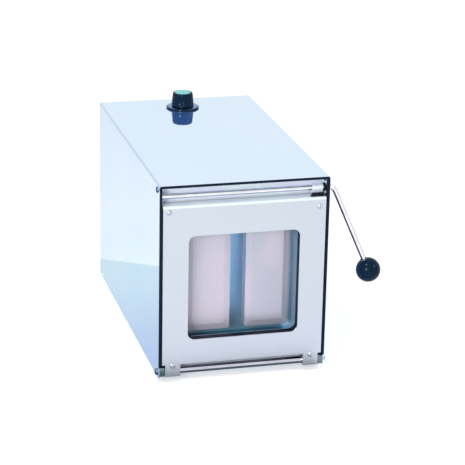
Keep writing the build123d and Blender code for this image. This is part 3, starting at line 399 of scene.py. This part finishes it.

# %% [markdown]
# ## Satin sheets
#
# The door is brushed to a satin: fine level lines, broken here and there, that spread each reflection
# sideways. Noise stretched along the door makes them. Its tone turns from a greenish to a lavender grey from
# top to bottom, a painted reflection of the room's ceiling and the bench, and the round of its top edge is
# painted pale, a painted highlight. The hinge's blocks are the same sheet, only darker.

# %% Satin steel
SATIN_SPAN = (0.02, 0.26)
SATIN_HIGH = tone(199, 206, 212)
SATIN_LOW = tone(200, 205, 217)
SATIN_ROUGHNESS = 0.27
BEND_HEIGHT = 0.0045
BEND_FADE = 0.0025


def satin_sheet(name, high_tone, low_tone, roughness, grain=(0.02, 1, 1), bend=None):
    """Brushed steel toned by height, a painted reflection. From the height bend on it turns back, pale: a
    painted highlight.
    """
    steel = Finish(name)
    lines = steel.noise(900.0, grain, detail=2.0)
    cloud = steel.noise(8.0)
    # Painted reflection: greenish high up, as the ceiling would mirror, and lavender low down, as the bench
    # would.
    rise = steel.between(*SATIN_SPAN, steel.axis("Z"))
    colour = steel.blend(steel.blend(low_tone, high_tone, rise), tone(196, 204, 222),
                         steel.between(0.42, 0.80, cloud) * 0.25 + lines * 0.12)
    metal = 1.0
    if bend:
        # Painted highlight: the round of the top edge is painted pale and made less metallic.
        back = steel.between(bend, bend + BEND_FADE, steel.axis("Z"))
        colour = steel.blend(colour, tone(216, 229, 236), back)
        metal = 1 - back * 0.85
    return steel.surface(Base_Color=colour, Metallic=metal, Roughness=roughness + lines * 0.10,
                         Normal=steel.bump(lines, 0.00002, 0.4))


bend_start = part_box("door_plate")[1].z - BEND_HEIGHT
finishes["satin_steel"] = satin_sheet("satin_steel", SATIN_HIGH, SATIN_LOW, SATIN_ROUGHNESS)
finishes["door_steel"] = satin_sheet("door_steel", SATIN_HIGH, SATIN_LOW, SATIN_ROUGHNESS, bend=bend_start)
finishes["hinge_steel"] = satin_sheet(
    "hinge_steel", tone(122, 140, 144), tone(112, 130, 134), 0.22, (0.3, 1, 1))
print("the door's round starts at", round(bend_start, 4), "m")

# %% [markdown]
# ## Inside the recess and the chamber
#
# The channel above the door is pale and hardly mirrors, because daylight reaches it from the front only. The
# drawn chamber is bright steel too, but what it mirrors is itself, in the dark behind the door, so its colour
# is a painted reflection: a deep steel blue that falls to a darker teal near the floor. Painted light makes
# it paler on the side walls, and it is paler on the flange round its mouth. The paddles are blasted pale and
# catch the daylight.

# %% Recess steel
def recess_sheet():
    """The channel above the door: pale satin, with slow level clouds."""
    steel = Finish("recess_steel")
    cloud = steel.noise(14.0, (1, 1, 3))
    colour = steel.blend(tone(238, 252, 255), tone(236, 240, 255), steel.between(0.35, 0.7, cloud))
    return steel.surface(Base_Color=colour, Metallic=0.12, Roughness=0.42 + cloud * 0.06)


finishes["recess_steel"] = recess_sheet()
print("recess done")

# %% Chamber steel
WALL_NEAR = (0.070, 0.078)
FLOOR_NEAR = (0.085, 0.050)
MOUTH = (-0.186, -0.191)


def chamber_sheet():
    """Drawn steel, a painted reflection: deep blue, teal at the floor; painted light on the side walls; pale
    flange.
    """
    steel = Finish("chamber_steel")
    lines = steel.noise(600.0, (1, 1, 0.03), detail=2.0)
    # Painted reflection: a blue base that stands for the dark chamber mirrored in itself.
    colour = steel.blend(tone(150, 208, 254), tone(138, 198, 252),
                         steel.between(0.3, 0.75, steel.noise(12.0)))
    across = steel.axis("X")
    # Painted light: the side walls are made paler, as if lit through the window.
    wall = steel.between(WALL_NEAR[0] ** 2, WALL_NEAR[1] ** 2, across * across) * 0.8
    # Part of the painted reflection: a darker teal towards the chamber's floor.
    foot = steel.between(*FLOOR_NEAR, steel.axis("Z")) * (1 - wall)
    colour = steel.blend(steel.blend(colour, tone(222, 246, 255), wall), tone(92, 156, 180), foot)
    flange = steel.between(*MOUTH, steel.axis("Y"))
    return steel.surface(Base_Color=steel.blend(colour, tone(236, 240, 250), flange), Metallic=0.5,
                         Roughness=0.34 + lines * 0.10, Normal=steel.bump(lines, 0.00002, 0.4))


finishes["chamber_steel"] = chamber_sheet()
print("chamber done")


# %% Blasted paddles
def blasted_sheet():
    """Glass-bead blasted steel: an even matt grain that use has polished in slanting patches."""
    steel = Finish("paddle_steel")
    grain = steel.noise(1800.0, detail=2.0)
    worn = steel.between(0.40, 0.60, steel.noise(11.0, (1.4, 1.0, 0.7), detail=1.0))
    colour = steel.blend(tone(208, 196, 210), tone(186, 184, 200), grain * 0.15 + worn * 0.7)
    return steel.surface(Base_Color=colour, Metallic=0.40, Roughness=0.36 - worn * 0.08,
                         Normal=steel.bump(grain, 0.00003, 0.4))


finishes["paddle_steel"] = blasted_sheet()
print("paddles done")

# %% [markdown]
# ## Bars, screws and bearings
#
# Turned and drawn steel shows fine lines round the bar and darker patches where hands and tools have been.
# One function gives them all: only the tones, the roughness and the spacing of the lines differ. The lever
# alone has painted shade besides: the side of its bar that faces the casing and the floor is painted darker,
# a painted reflection of their shade.

# %% Turned steel
EDGE_TINT = (0.30, 0.30, 0.34, 1.0)
# Painted shade: the way and the tone of the bar's darker side, a painted reflection of the casing and the
# floor.
LEVER_SHADE_WAY = Vector((-0.93, 0.0, -0.36))
LEVER_SHADE_TONE = tone(78, 80, 88)


def turned_steel(name, light, deep, roughness, spacing, painted_side=False):
    """Turned or drawn steel. A bar with a painted side is darker on the side that faces the casing: painted
    shade.
    """
    steel = Finish(name)
    lines = steel.noise(spacing)
    cloud = steel.between(0.4, 0.75, steel.noise(70.0))
    colour = steel.blend(light, deep, cloud * 0.6 + lines * 0.2)
    if painted_side:
        # Painted shade: the side of the bar that faces the casing and the floor is painted darker.
        facing = steel.node("ShaderNodeTexCoord", output="Normal")
        toward = steel.node("ShaderNodeVectorMath", {"operation": "DOT_PRODUCT"},
                            {0: facing, 1: LEVER_SHADE_WAY}, output="Value")
        colour = steel.blend(colour, LEVER_SHADE_TONE, steel.between(0.30, 0.62, toward + cloud * 0.12))
    return steel.surface(Base_Color=colour, Metallic=1.0, Roughness=roughness + cloud * 0.06,
                         Specular_Tint=EDGE_TINT, Normal=steel.bump(lines, 0.00001, 0.4))


for name, light, deep, roughness, spacing in (
        ("polished_steel", (208, 206, 220), (186, 186, 202), 0.07, 900.0),
        ("lever_steel", (240, 240, 246), (220, 220, 230), 0.06, 900.0),
        ("screw_steel", (196, 205, 216), (160, 170, 186), 0.22, 2400.0),
        ("dark_screw", (112, 136, 156), (76, 100, 122), 0.25, 2400.0),
        ("bearing_steel", (200, 202, 208), (170, 172, 182), 0.14, 1200.0),
        ("plate_aluminium", (204, 206, 210), (176, 180, 188), 0.36, 500.0),
        ("capacitor_can", (190, 192, 196), (160, 162, 168), 0.30, 300.0)):
    finishes[name] = turned_steel(
        name, tone(*light), tone(*deep), roughness, spacing, painted_side=name == "lever_steel")
print("finishes so far:", len(finishes))

# %% [markdown]
# ## Rubber, plastics and paint
#
# Moulded pieces keep the grain of their mould and get small rubbed patches. The ball and the knob are
# polished phenolic: nearly black, with a blue depth, and sharp highlights. A low specular level keeps the
# white room from greying them, while the lamps still show.

# %% Moulded surfaces
PLAIN_SPECULAR = 0.5


def moulding(name, light, deep, roughness, grain_size, grain_depth, specular):
    """A moulded surface: an even fine grain, with slow changes of tone and shine."""
    stuff = Finish(name)
    grain = stuff.noise(grain_size, detail=2.0)
    cloud = stuff.between(0.35, 0.75, stuff.noise(45.0, detail=4.0))
    return stuff.surface(Base_Color=stuff.blend(light, deep, cloud * 0.7 + grain * 0.2),
                         Roughness=roughness + cloud * 0.08, Specular_IOR_Level=specular,
                         Normal=stuff.bump(grain, grain_depth, 0.5))


for name, light, deep, roughness, grain_size, grain_depth, specular in (
        ("seal_rubber", (3, 24, 46), (2, 16, 36), 0.45, 1500.0, 0.00005, 0.12),
        ("belt_rubber", (44, 44, 46), (28, 28, 30), 0.7, 900.0, 0.00008, PLAIN_SPECULAR),
        ("black_gloss", (0, 32, 56), (0, 20, 38), 0.14, 300.0, 0.00001, 0.10),
        ("black_plastic", (3, 14, 30), (2, 8, 22), 0.42, 1800.0, 0.00003, 0.12),
        ("guide_plastic", (236, 234, 222), (222, 218, 204), 0.4, 1200.0, 0.00002, PLAIN_SPECULAR),
        ("motor_paint", (98, 108, 122), (80, 90, 104), 0.4, 700.0, 0.00006, PLAIN_SPECULAR),
        ("board_green", (46, 122, 78), (30, 96, 60), 0.4, 400.0, 0.00003, PLAIN_SPECULAR)):
    finishes[name] = moulding(name, tone(*light), tone(*deep), roughness, grain_size, grain_depth, specular)
print("finishes so far:", len(finishes))

# %% [markdown]
# ## Two tones on one piece
#
# The disc under the knob has an anodised face on a black rim, and the cap has a bright face on pale blue-grey
# sides.
# Each is one piece, so the change of tone is measured down from its top, where the face's edge is.

# %% The knob's disc and cap
DISC_LIP = (0.0007, 0.0003)
CAP_LIP = (0.0014, 0.0008)


def face_of(finish, node, lip):
    """1 on a piece's top face and 0 below its lip, given as two depths under the top."""
    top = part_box(node)[1].z
    return finish.between(top - lip[0], top - lip[1], finish.axis("Z"))


def disc_sheet():
    """The disc under the knob: a face that mirrors the room in blue, and a black moulded rim."""
    plate = Finish("disc_sheet")
    turning = plate.noise(800.0, detail=2.0)
    metal = plate.principled(Base_Color=plate.blend(tone(86, 128, 170), tone(74, 114, 158), turning * 0.5),
                             Metallic=1.0, Roughness=0.10 + turning * 0.05)
    rim = plate.principled(Base_Color=plate.blend(tone(2, 20, 38), tone(6, 28, 50), turning),
                           Roughness=0.2, Specular_IOR_Level=0.2)
    return plate.show(plate.mixed(face_of(plate, "knob_skirt", DISC_LIP), rim, metal))


def cap_sheet():
    """The coloured cap: teal on its face, with pale blue-grey sides."""
    cover = Finish("cap_sheet")
    grain = cover.noise(1200.0, detail=2.0)
    cloud = cover.between(0.35, 0.75, cover.noise(45.0, detail=4.0))
    teal = cover.blend(tone(110, 206, 208), tone(88, 186, 192), cloud * 0.7 + grain * 0.2)
    colour = cover.blend(tone(150, 184, 196), teal, face_of(cover, "knob_cap", CAP_LIP))
    return cover.surface(Base_Color=colour, Roughness=0.30 + cloud * 0.08,
                         Normal=cover.bump(grain, 0.00002, 0.5))


finishes["disc_sheet"] = disc_sheet()
finishes["cap_teal"] = cap_sheet()
print("disc and cap done")

# %% [markdown]
# ## Glass
#
# The pane is flat and thin, so it doesn't need refraction: light goes straight through a clear shader, and
# the Fresnel share of it mirrors the room instead. Only the side that light meets first may mirror: a ray
# that goes straight on and leaves through the far side at a slant would count as caught inside, and turn
# the pane dark.

# %% The door's glass
GLASS_TINT = (0.97, 0.985, 0.99, 1.0)
GLASS_SHINE = 0.02
GLASS_IOR = 1.5


def pane():
    """Flat clear glass: what is behind shows through a faint tint, with the room in reflection over it."""
    glass = Finish("glass_clear")
    clear = glass.node("ShaderNodeBsdfTransparent", inputs={"Color": GLASS_TINT})
    mirror = glass.node("ShaderNodeBsdfAnisotropic", inputs={"Color": WHITE, "Roughness": GLASS_SHINE})
    edge_on = glass.node("ShaderNodeFresnel", inputs={"IOR": GLASS_IOR})
    far_side = glass.node("ShaderNodeNewGeometry", output="Backfacing")
    return glass.show(glass.mixed(edge_on * (1 - far_side), clear, mirror))


finishes["glass_clear"] = pane()
print("finishes:", len(finishes))

# %% [markdown]
# ## Edges that catch the light
#
# A folded or sawn edge is never perfectly sharp: it has a small round that draws a bright line. The packed
# pieces get theirs from modifiers, which leave the meshes as they are: Weld joins their faces, a planar
# Decimate clears the triangles from flat faces, Bevel rounds what turns sharply, and Weighted Normal keeps
# flat faces flat.

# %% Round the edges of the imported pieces
EDGE_ROUNDS = {
    "casing_cover": 0.0003, "front_beam": 0.0003, "door_plate": 0.0004, "window_frame": 0.0006,
    "hinge_blocks": 0.0004, "door_knuckles": 0.0004, "door_keeper": 0.0002, "latch_cam": 0.0004,
    "lever_bushes": 0.0004, "left_paddle": 0.0004, "right_paddle": 0.0004, "chamber_box": 0.0005,
    "rear_panel": 0.0002, "power_inlet": 0.0004, "switch_frame": 0.0003, "mains_rocker": 0.0003,
    "base_tray": 0.0003, "door_back_plate": 0.0003,
}
WELD_REACH = 0.00001
SHARP = radians(35)
FLAT = radians(1.5)


def round_edges(shape, width):
    """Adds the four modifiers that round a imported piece's sharp edges."""
    weld = shape.modifiers.new("weld", "WELD")
    weld.merge_threshold = WELD_REACH
    flatten = shape.modifiers.new("flatten", "DECIMATE")
    flatten.decimate_type = "DISSOLVE"
    flatten.angle_limit = FLAT
    rounding = shape.modifiers.new("rounding", "BEVEL")
    rounding.width = width
    rounding.segments = 2
    rounding.limit_method = "ANGLE"
    rounding.angle_limit = SHARP
    rounding.harden_normals = True
    level = shape.modifiers.new("level", "WEIGHTED_NORMAL")
    level.keep_sharp = True


for node, width in EDGE_ROUNDS.items():
    round_edges(frame["nodes"][node], width)
print("rounded:", len(EDGE_ROUNDS), "pieces")

# %% [markdown]
# ## Turned pieces from rings
#
# Screws, nuts, discs and the knob are all turned shapes, and some of them change from a circle to a hexagon
# or gain flutes. A Screw modifier can't do that change, so one function stacks rings instead: each ring has
# a radius, a height and a shape, which is a function of the angle that pulls the ring in or out. Faces join
# ring to ring, and the ends are closed.


# %% Stack rings into a solid
def circle(angle):
    """Leaves a ring round."""
    return 1.0


def hexagon(angle):
    """Pulls a ring of corner radius 1 in to the flats of a hexagon."""
    sector = pi / 3
    return cos(sector / 2) / cos((angle % sector) - sector / 2)


def turned(mesh, rings, place, axis, steps):
    """Adds a solid of stacked rings to a mesh. Heights run along the axis from the place."""
    turn = axis.to_track_quat("Z", "Y").to_matrix()
    stack = []
    for radius, height, shape in rings:
        ring = []
        for step in range(steps):
            angle = 2 * pi * step / steps
            reach = radius * shape(angle)
            spot = Vector((reach * cos(angle), reach * sin(angle), height))
            ring.append(mesh.verts.new(place + turn @ spot))
        stack.append(ring)
    for lower, upper in zip(stack, stack[1:]):
        for step in range(steps):
            after = (step + 1) % steps
            mesh.faces.new((lower[step], lower[after], upper[after], upper[step]))
    mesh.faces.new(reversed(stack[0]))
    mesh.faces.new(stack[-1])


# %% Turn a mesh into a piece
SMOOTH_LIMIT = radians(32)


def piece(name, mesh, body, slot, finish, *stands_for):
    """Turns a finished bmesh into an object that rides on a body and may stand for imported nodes."""
    data = bpy.data.meshes.new(name)
    mesh.normal_update()
    mesh.to_mesh(data)
    mesh.free()
    data.polygons.foreach_set("use_smooth", [True] * len(data.polygons))
    data.set_sharp_from_angle(angle=SMOOTH_LIMIT)
    data.materials.append(finishes[finish])
    made = bpy.data.objects.new(name, data)
    scene.collection.objects.link(made)
    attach(made, body)
    if stands_for:
        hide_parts(*stands_for)
    print(name, len(data.polygons), "faces")


# %% [markdown]
# ## Screws
#
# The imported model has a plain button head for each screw. The real ones are low domes with a rounded rim and
# a hexagon socket whose mouth is broken by a small chamfer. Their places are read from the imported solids,
# one box for each, so the new heads sit exactly where the old ones did. The casing's screws are flatter,
# and the caps on the hinge rod's ends have the same shape, only taller.

# %% Find each solid of a node
SAME_PLACE = 0.000001


def solids_of(node):
    """The lowest and highest corner of each separate solid of a node.

    The solids come in the order of the mesh's vertices, so that every run builds the screws in the same order.
    """
    mesh = bmesh.new()
    mesh.from_mesh(frame["nodes"][node].data)
    bmesh.ops.remove_doubles(mesh, verts=mesh.verts, dist=SAME_PLACE)
    found = set()
    boxes = []
    for start in mesh.verts:
        if start in found:
            continue
        found.add(start)
        island = [start]
        for vertex in island:
            for edge in vertex.link_edges:
                other = edge.other_vert(vertex)
                if other not in found:
                    found.add(other)
                    island.append(other)
        boxes.append([Vector(pick(v.co[i] for v in island) for i in range(3)) for pick in (min, max)])
    mesh.free()
    return boxes


# %% The shape of a button head
SHANK_RADIUS = 0.0019
SHANK_POINT = 0.0005
SOCKET_SHARE = 0.36
SOCKET_MOUTH = 1.3
RIM_SHARE = 0.16
DOME_STEPS = 6
DOME_SWEEP = pi / 2 * 0.86
SMALL_STEPS = 36


def button_screw(mesh, place, axis, radius, height, length):
    """A button-head screw: shank, flat seat, rounded rim, dome and a hexagon socket."""
    socket = radius * SOCKET_SHARE
    mouth = socket * SOCKET_MOUTH
    rings = [(SHANK_RADIUS * 0.8, -length, circle), (SHANK_RADIUS, -length + SHANK_POINT, circle),
             (SHANK_RADIUS, 0.0, circle), (radius * 0.96, 0.0, circle), (radius, height * 0.06, circle),
             (radius, height * RIM_SHARE, circle)]
    for step in range(1, DOME_STEPS + 1):
        lean = DOME_SWEEP * step / DOME_STEPS
        rise = RIM_SHARE + (1 - RIM_SHARE) * sin(lean)
        rings.append((mouth + (radius - mouth) * cos(lean), height * rise, circle))
    rings += [(socket * 1.22, height, circle), (socket * 1.08, height * 0.93, hexagon),
              (socket, height * 0.25, hexagon), (socket * 0.3, height * 0.12, hexagon)]
    turned(mesh, rings, place, axis, SMALL_STEPS)


# %% Build the screws
HEAD_HEIGHT = 0.0019
LOW_HEAD = 0.0006
CAP_HEIGHT = 0.0034
PACKED_HEAD = {"beam_screws": 0.0024, "hinge_caps": CAP_HEIGHT}
HEAD_WAYS = {"door_screws": (0, -1, 0), "rear_screws": (0, 1, 0), "foot_screws": (0, 0, -1)}

for node, body, height, finish in (
        ("door_screws", "door", HEAD_HEIGHT, "screw_steel"),
        ("casing_screws", "casing", LOW_HEAD, "casing_steel"),
        ("beam_screws", "casing", HEAD_HEIGHT, "dark_screw"),
        ("rear_screws", "casing", HEAD_HEIGHT, "screw_steel"),
        ("foot_screws", "casing", HEAD_HEIGHT, "screw_steel"),
        ("hinge_caps", "casing", CAP_HEIGHT, "dark_screw")):
    heads = bmesh.new()
    packed_head = PACKED_HEAD.get(node, HEAD_HEIGHT)
    for low, high in solids_of(node):
        middle = (low + high) / 2
        way = Vector(HEAD_WAYS.get(node, (1 if middle.x > 0 else -1, 0, 0)))
        along = max(range(3), key=lambda i: abs(way[i]))
        across = 0 if along else 1
        radius = (high[across] - low[across]) / 2
        length = high[along] - low[along]
        seat = middle + way * (length / 2 - packed_head)
        button_screw(heads, seat, way, radius, height, length - packed_head)
    piece(node + "_turned", heads, body, "screw_steel", finish, node)

# %% [markdown]
# ## The knob
#
# The timer knob is a tapered grip of polished phenolic with eighteen shallow flutes, on a thin disc, with a
# coloured cap let into its top. Cutting the flutes with a Boolean would leave sharp rims. Here they come
# from the ring's shape: a cosine raised to a power leaves broad lands with narrow soft valleys between them.

# %% The fluted grip
FLUTES = 18
FLUTE_DEPTH = 0.055
STEPS_PER_FLUTE = 8
GRIP_TAPER = 0.0018
knob_low, knob_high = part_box("knob_body")
disc_low, disc_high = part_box("knob_skirt")
cap_low, cap_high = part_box("knob_cap")
knob_axis = Vector(((disc_low.x + disc_high.x) / 2, (disc_low.y + disc_high.y) / 2, 0))
grip_height = knob_high.z - knob_low.z
grip_base = (knob_high.x - knob_low.x) / 2
grip_top = grip_base - GRIP_TAPER
cap_radius = (cap_high.x - cap_low.x) / 2


def fluted(angle):
    """Broad lands with narrow soft valleys."""
    return 1.0 - FLUTE_DEPTH * ((1 + cos(FLUTES * angle)) / 2) ** 3


grip = bmesh.new()
turned(grip, [
    (grip_base - 0.0008, 0.0, circle), (grip_base, 0.0006, circle), (grip_base, 0.0022, circle),
    (grip_base - 0.0002, 0.0040, fluted), (grip_top + 0.0004, grip_height * 0.80, fluted),
    (grip_top + 0.0001, grip_height * 0.92, fluted), (grip_top - 0.0002, grip_height - 0.0008, circle),
    (grip_top - 0.0007, grip_height - 0.0002, circle), (grip_top - 0.0014, grip_height, circle),
    (cap_radius + 0.0003, grip_height, circle), (cap_radius + 0.0002, grip_height - 0.0016, circle)],
    knob_axis + UP * knob_low.z, UP, STEPS_PER_FLUTE * FLUTES)
piece("knob_grip", grip, "knob", "black_gloss", "black_gloss", "knob_body")
print("knob grip height:", round(grip_height * 1000, 1), "mm")

# %% Disc and cap
DISC_STEPS = 96
DISC_FOOT_RING = 0.006
CAP_STEPS = 72
disc_radius = (disc_high.x - disc_low.x) / 2
disc_height = disc_high.z - disc_low.z
disc = bmesh.new()
turned(disc, [
    (DISC_FOOT_RING, 0.0, circle), (disc_radius - 0.0006, 0.0, circle), (disc_radius, 0.0006, circle),
    (disc_radius, disc_height * 0.45, circle), (disc_radius - 0.0004, disc_height * 0.62, circle),
    (disc_radius - 0.0016, disc_height * 0.86, circle), (disc_radius - 0.0030, disc_height * 0.94, circle),
    (grip_base + 0.002, disc_height * 0.98, circle), (grip_base - 0.001, disc_height, circle)],
    knob_axis + UP * disc_low.z, UP, DISC_STEPS)
piece("knob_disc", disc, "knob", "black_gloss", "disc_sheet", "knob_skirt")

cap_height = cap_high.z - cap_low.z
cap = bmesh.new()
turned(cap, [
    (cap_radius, 0.0, circle), (cap_radius, cap_height * 0.66, circle),
    (cap_radius - 0.0002, cap_height * 0.78, circle), (cap_radius - 0.0006, cap_height * 0.88, circle),
    (cap_radius * 0.7, cap_height * 0.96, circle), (cap_radius * 0.3, cap_height, circle)],
    knob_axis + UP * cap_low.z, UP, CAP_STEPS)
piece("knob_lid", cap, "knob", "cap_teal", "cap_teal", "knob_cap")

# %% [markdown]
# ## The knob's grub screw
#
# A small headless screw in the knob's side holds it on its spindle. It stands a hair proud of the grip's
# foot, with a hexagon socket, and it is made of the same rings as the larger screws.

# %% Grub screw in the knob's side
GRUB_RADIUS = 0.0012
GRUB_RISE = 0.0060
GRUB_SINK = 0.0010
grub_way = Vector((-0.47, -0.88, 0.0)).normalized()
grub_seat = knob_axis + UP * (knob_low.z + GRUB_RISE) + grub_way * (grip_base - GRUB_SINK)
grub = bmesh.new()
turned(grub, [
    (GRUB_RADIUS, -0.0040, circle), (GRUB_RADIUS, 0.0004, circle), (GRUB_RADIUS * 0.85, 0.0007, circle),
    (GRUB_RADIUS * 0.6, 0.0007, hexagon), (GRUB_RADIUS * 0.55, -0.0008, hexagon)],
    grub_seat, grub_way, SMALL_STEPS)
piece("knob_grub_screw", grub, "knob", "screw_steel", "dark_screw")

# %% [markdown]
# ## The dark trim round the casing's mouth
#
# A strip of soft profile is pushed into the casing's front edge, up the left side, over the top and down the
# right. It is one section all along, so the section is written once, as steps inward from the casing's
# outside, and each step follows the casing's outline with its own corner radius.

# %% Sweep the trim
SEAL_SECTION = (
    (0.0, 0.0010), (0.0, 0.0006), (0.0002, 0.00025), (0.0006, 0.00005), (0.0011, 0.0), (0.0026, 0.0),
    (0.0031, 0.00008), (0.0035, 0.0004), (0.0037, 0.0009), (0.0037, 0.0070), (0.0016, 0.0070),
    (0.0016, 0.0010))
CORNER_BEND = 0.0030
TIGHTEST_BEND = 0.0003
CORNER_STEPS = 6
seal_low, seal_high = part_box("edge_seal")


def mouth_outline(inward):
    """The casing's mouth from its left foot over the top to its right foot, drawn in by a step."""
    bend = max(CORNER_BEND - inward, TIGHTEST_BEND)
    half = seal_high.x - inward
    top = seal_high.z - inward
    line = [(-half, seal_low.z)]
    for side in (-1, 1):
        for step in range(CORNER_STEPS + 1):
            turn = pi / 2 * (step if side < 0 else CORNER_STEPS - step) / CORNER_STEPS
            line.append((side * (half - bend + bend * cos(turn)), top - bend + bend * sin(turn)))
    return line + [(half, seal_low.z)]


trim = bmesh.new()
loops = [[trim.verts.new((x, seal_low.y + depth, z)) for x, z in mouth_outline(inward)]
         for inward, depth in SEAL_SECTION]
for loop, following in zip(loops, loops[1:] + loops[:1]):
    for place in range(len(loop) - 1):
        trim.faces.new((loop[place], loop[place + 1], following[place + 1], following[place]))
trim.faces.new([loop[0] for loop in loops])
trim.faces.new([loop[-1] for loop in reversed(loops)])
bmesh.ops.recalc_face_normals(trim, faces=trim.faces)
piece("edge_trim", trim, "casing", "seal_rubber", "seal_rubber", "edge_seal")
print("trim length:", round(2 * (seal_high.z - seal_low.z) + 2 * seal_high.x, 3), "m")

# %% [markdown]
# ## The lever's lock nut
#
# A ball grip is screwed onto the bar's end, and a thin hexagon nut stops it from working loose. It lies
# against the flat at the foot of the ball, on the bar's own line, which runs from the bar's elbow beside the
# casing to the middle of the ball.

# %% Lock nut against the ball
BAR_RADIUS = 0.0035
ELBOW_RUN = 0.0085
BALL_RADIUS = 0.0175
NUT_CORNER = 0.0051
NUT_FACE = 0.0044
NUT_HEIGHT = 0.0026
NUT_CHAMFER = 0.0005
NUT_BACK = 0.0190
NUT_STEPS = 48
ball_low, ball_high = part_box("lever_ball")
ball_centre = Vector((ball_high.x - BALL_RADIUS, (ball_low.y + ball_high.y) / 2, ball_low.z + BALL_RADIUS))
elbow_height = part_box("lever_rod")[1].z - BAR_RADIUS
elbow = Vector((casing_high.x + ELBOW_RUN, ball_centre.y, elbow_height))
bar_way = (ball_centre - elbow).normalized()
bore = BAR_RADIUS + 0.0001
nut = bmesh.new()
turned(nut, [
    (bore, 0.0, circle), (NUT_FACE, 0.0, circle), (NUT_CORNER, NUT_CHAMFER, hexagon),
    (NUT_CORNER, 0.0020, hexagon), (NUT_FACE, NUT_HEIGHT, circle), (bore, NUT_HEIGHT, circle)],
    ball_centre - bar_way * NUT_BACK, bar_way, NUT_STEPS)
piece("ball_lock_nut", nut, "lever", "screw_steel", "dark_screw")
print("bar leans", round(degrees(atan2(bar_way.x, -bar_way.z)), 1), "degrees from upright")

# %% [markdown]
# ## Finishes for the imported pieces
#
# Every imported piece takes the finish of its slot in the record. A few take a relative of it, where the real
# machine's pieces differ or where light is painted: the beam and the latch cam are paler than the door, the
# door's own sheet has the painted highlight on its round, the hinge's blocks are greyer, and the lever has its
# side of painted shade.

# %% Give every node its finish
RELATIVES = {
    "front_beam": "recess_steel", "latch_cam": "recess_steel", "door_plate": "door_steel",
    "hinge_blocks": "hinge_steel", "lever_rod": "lever_steel",
}

for row in frame["record"]["subparts"]:
    shape = frame["nodes"][row["node"]]
    shape.data.materials.clear()
    shape.data.materials.append(finishes[RELATIVES.get(row["node"], row["material_slot"])])
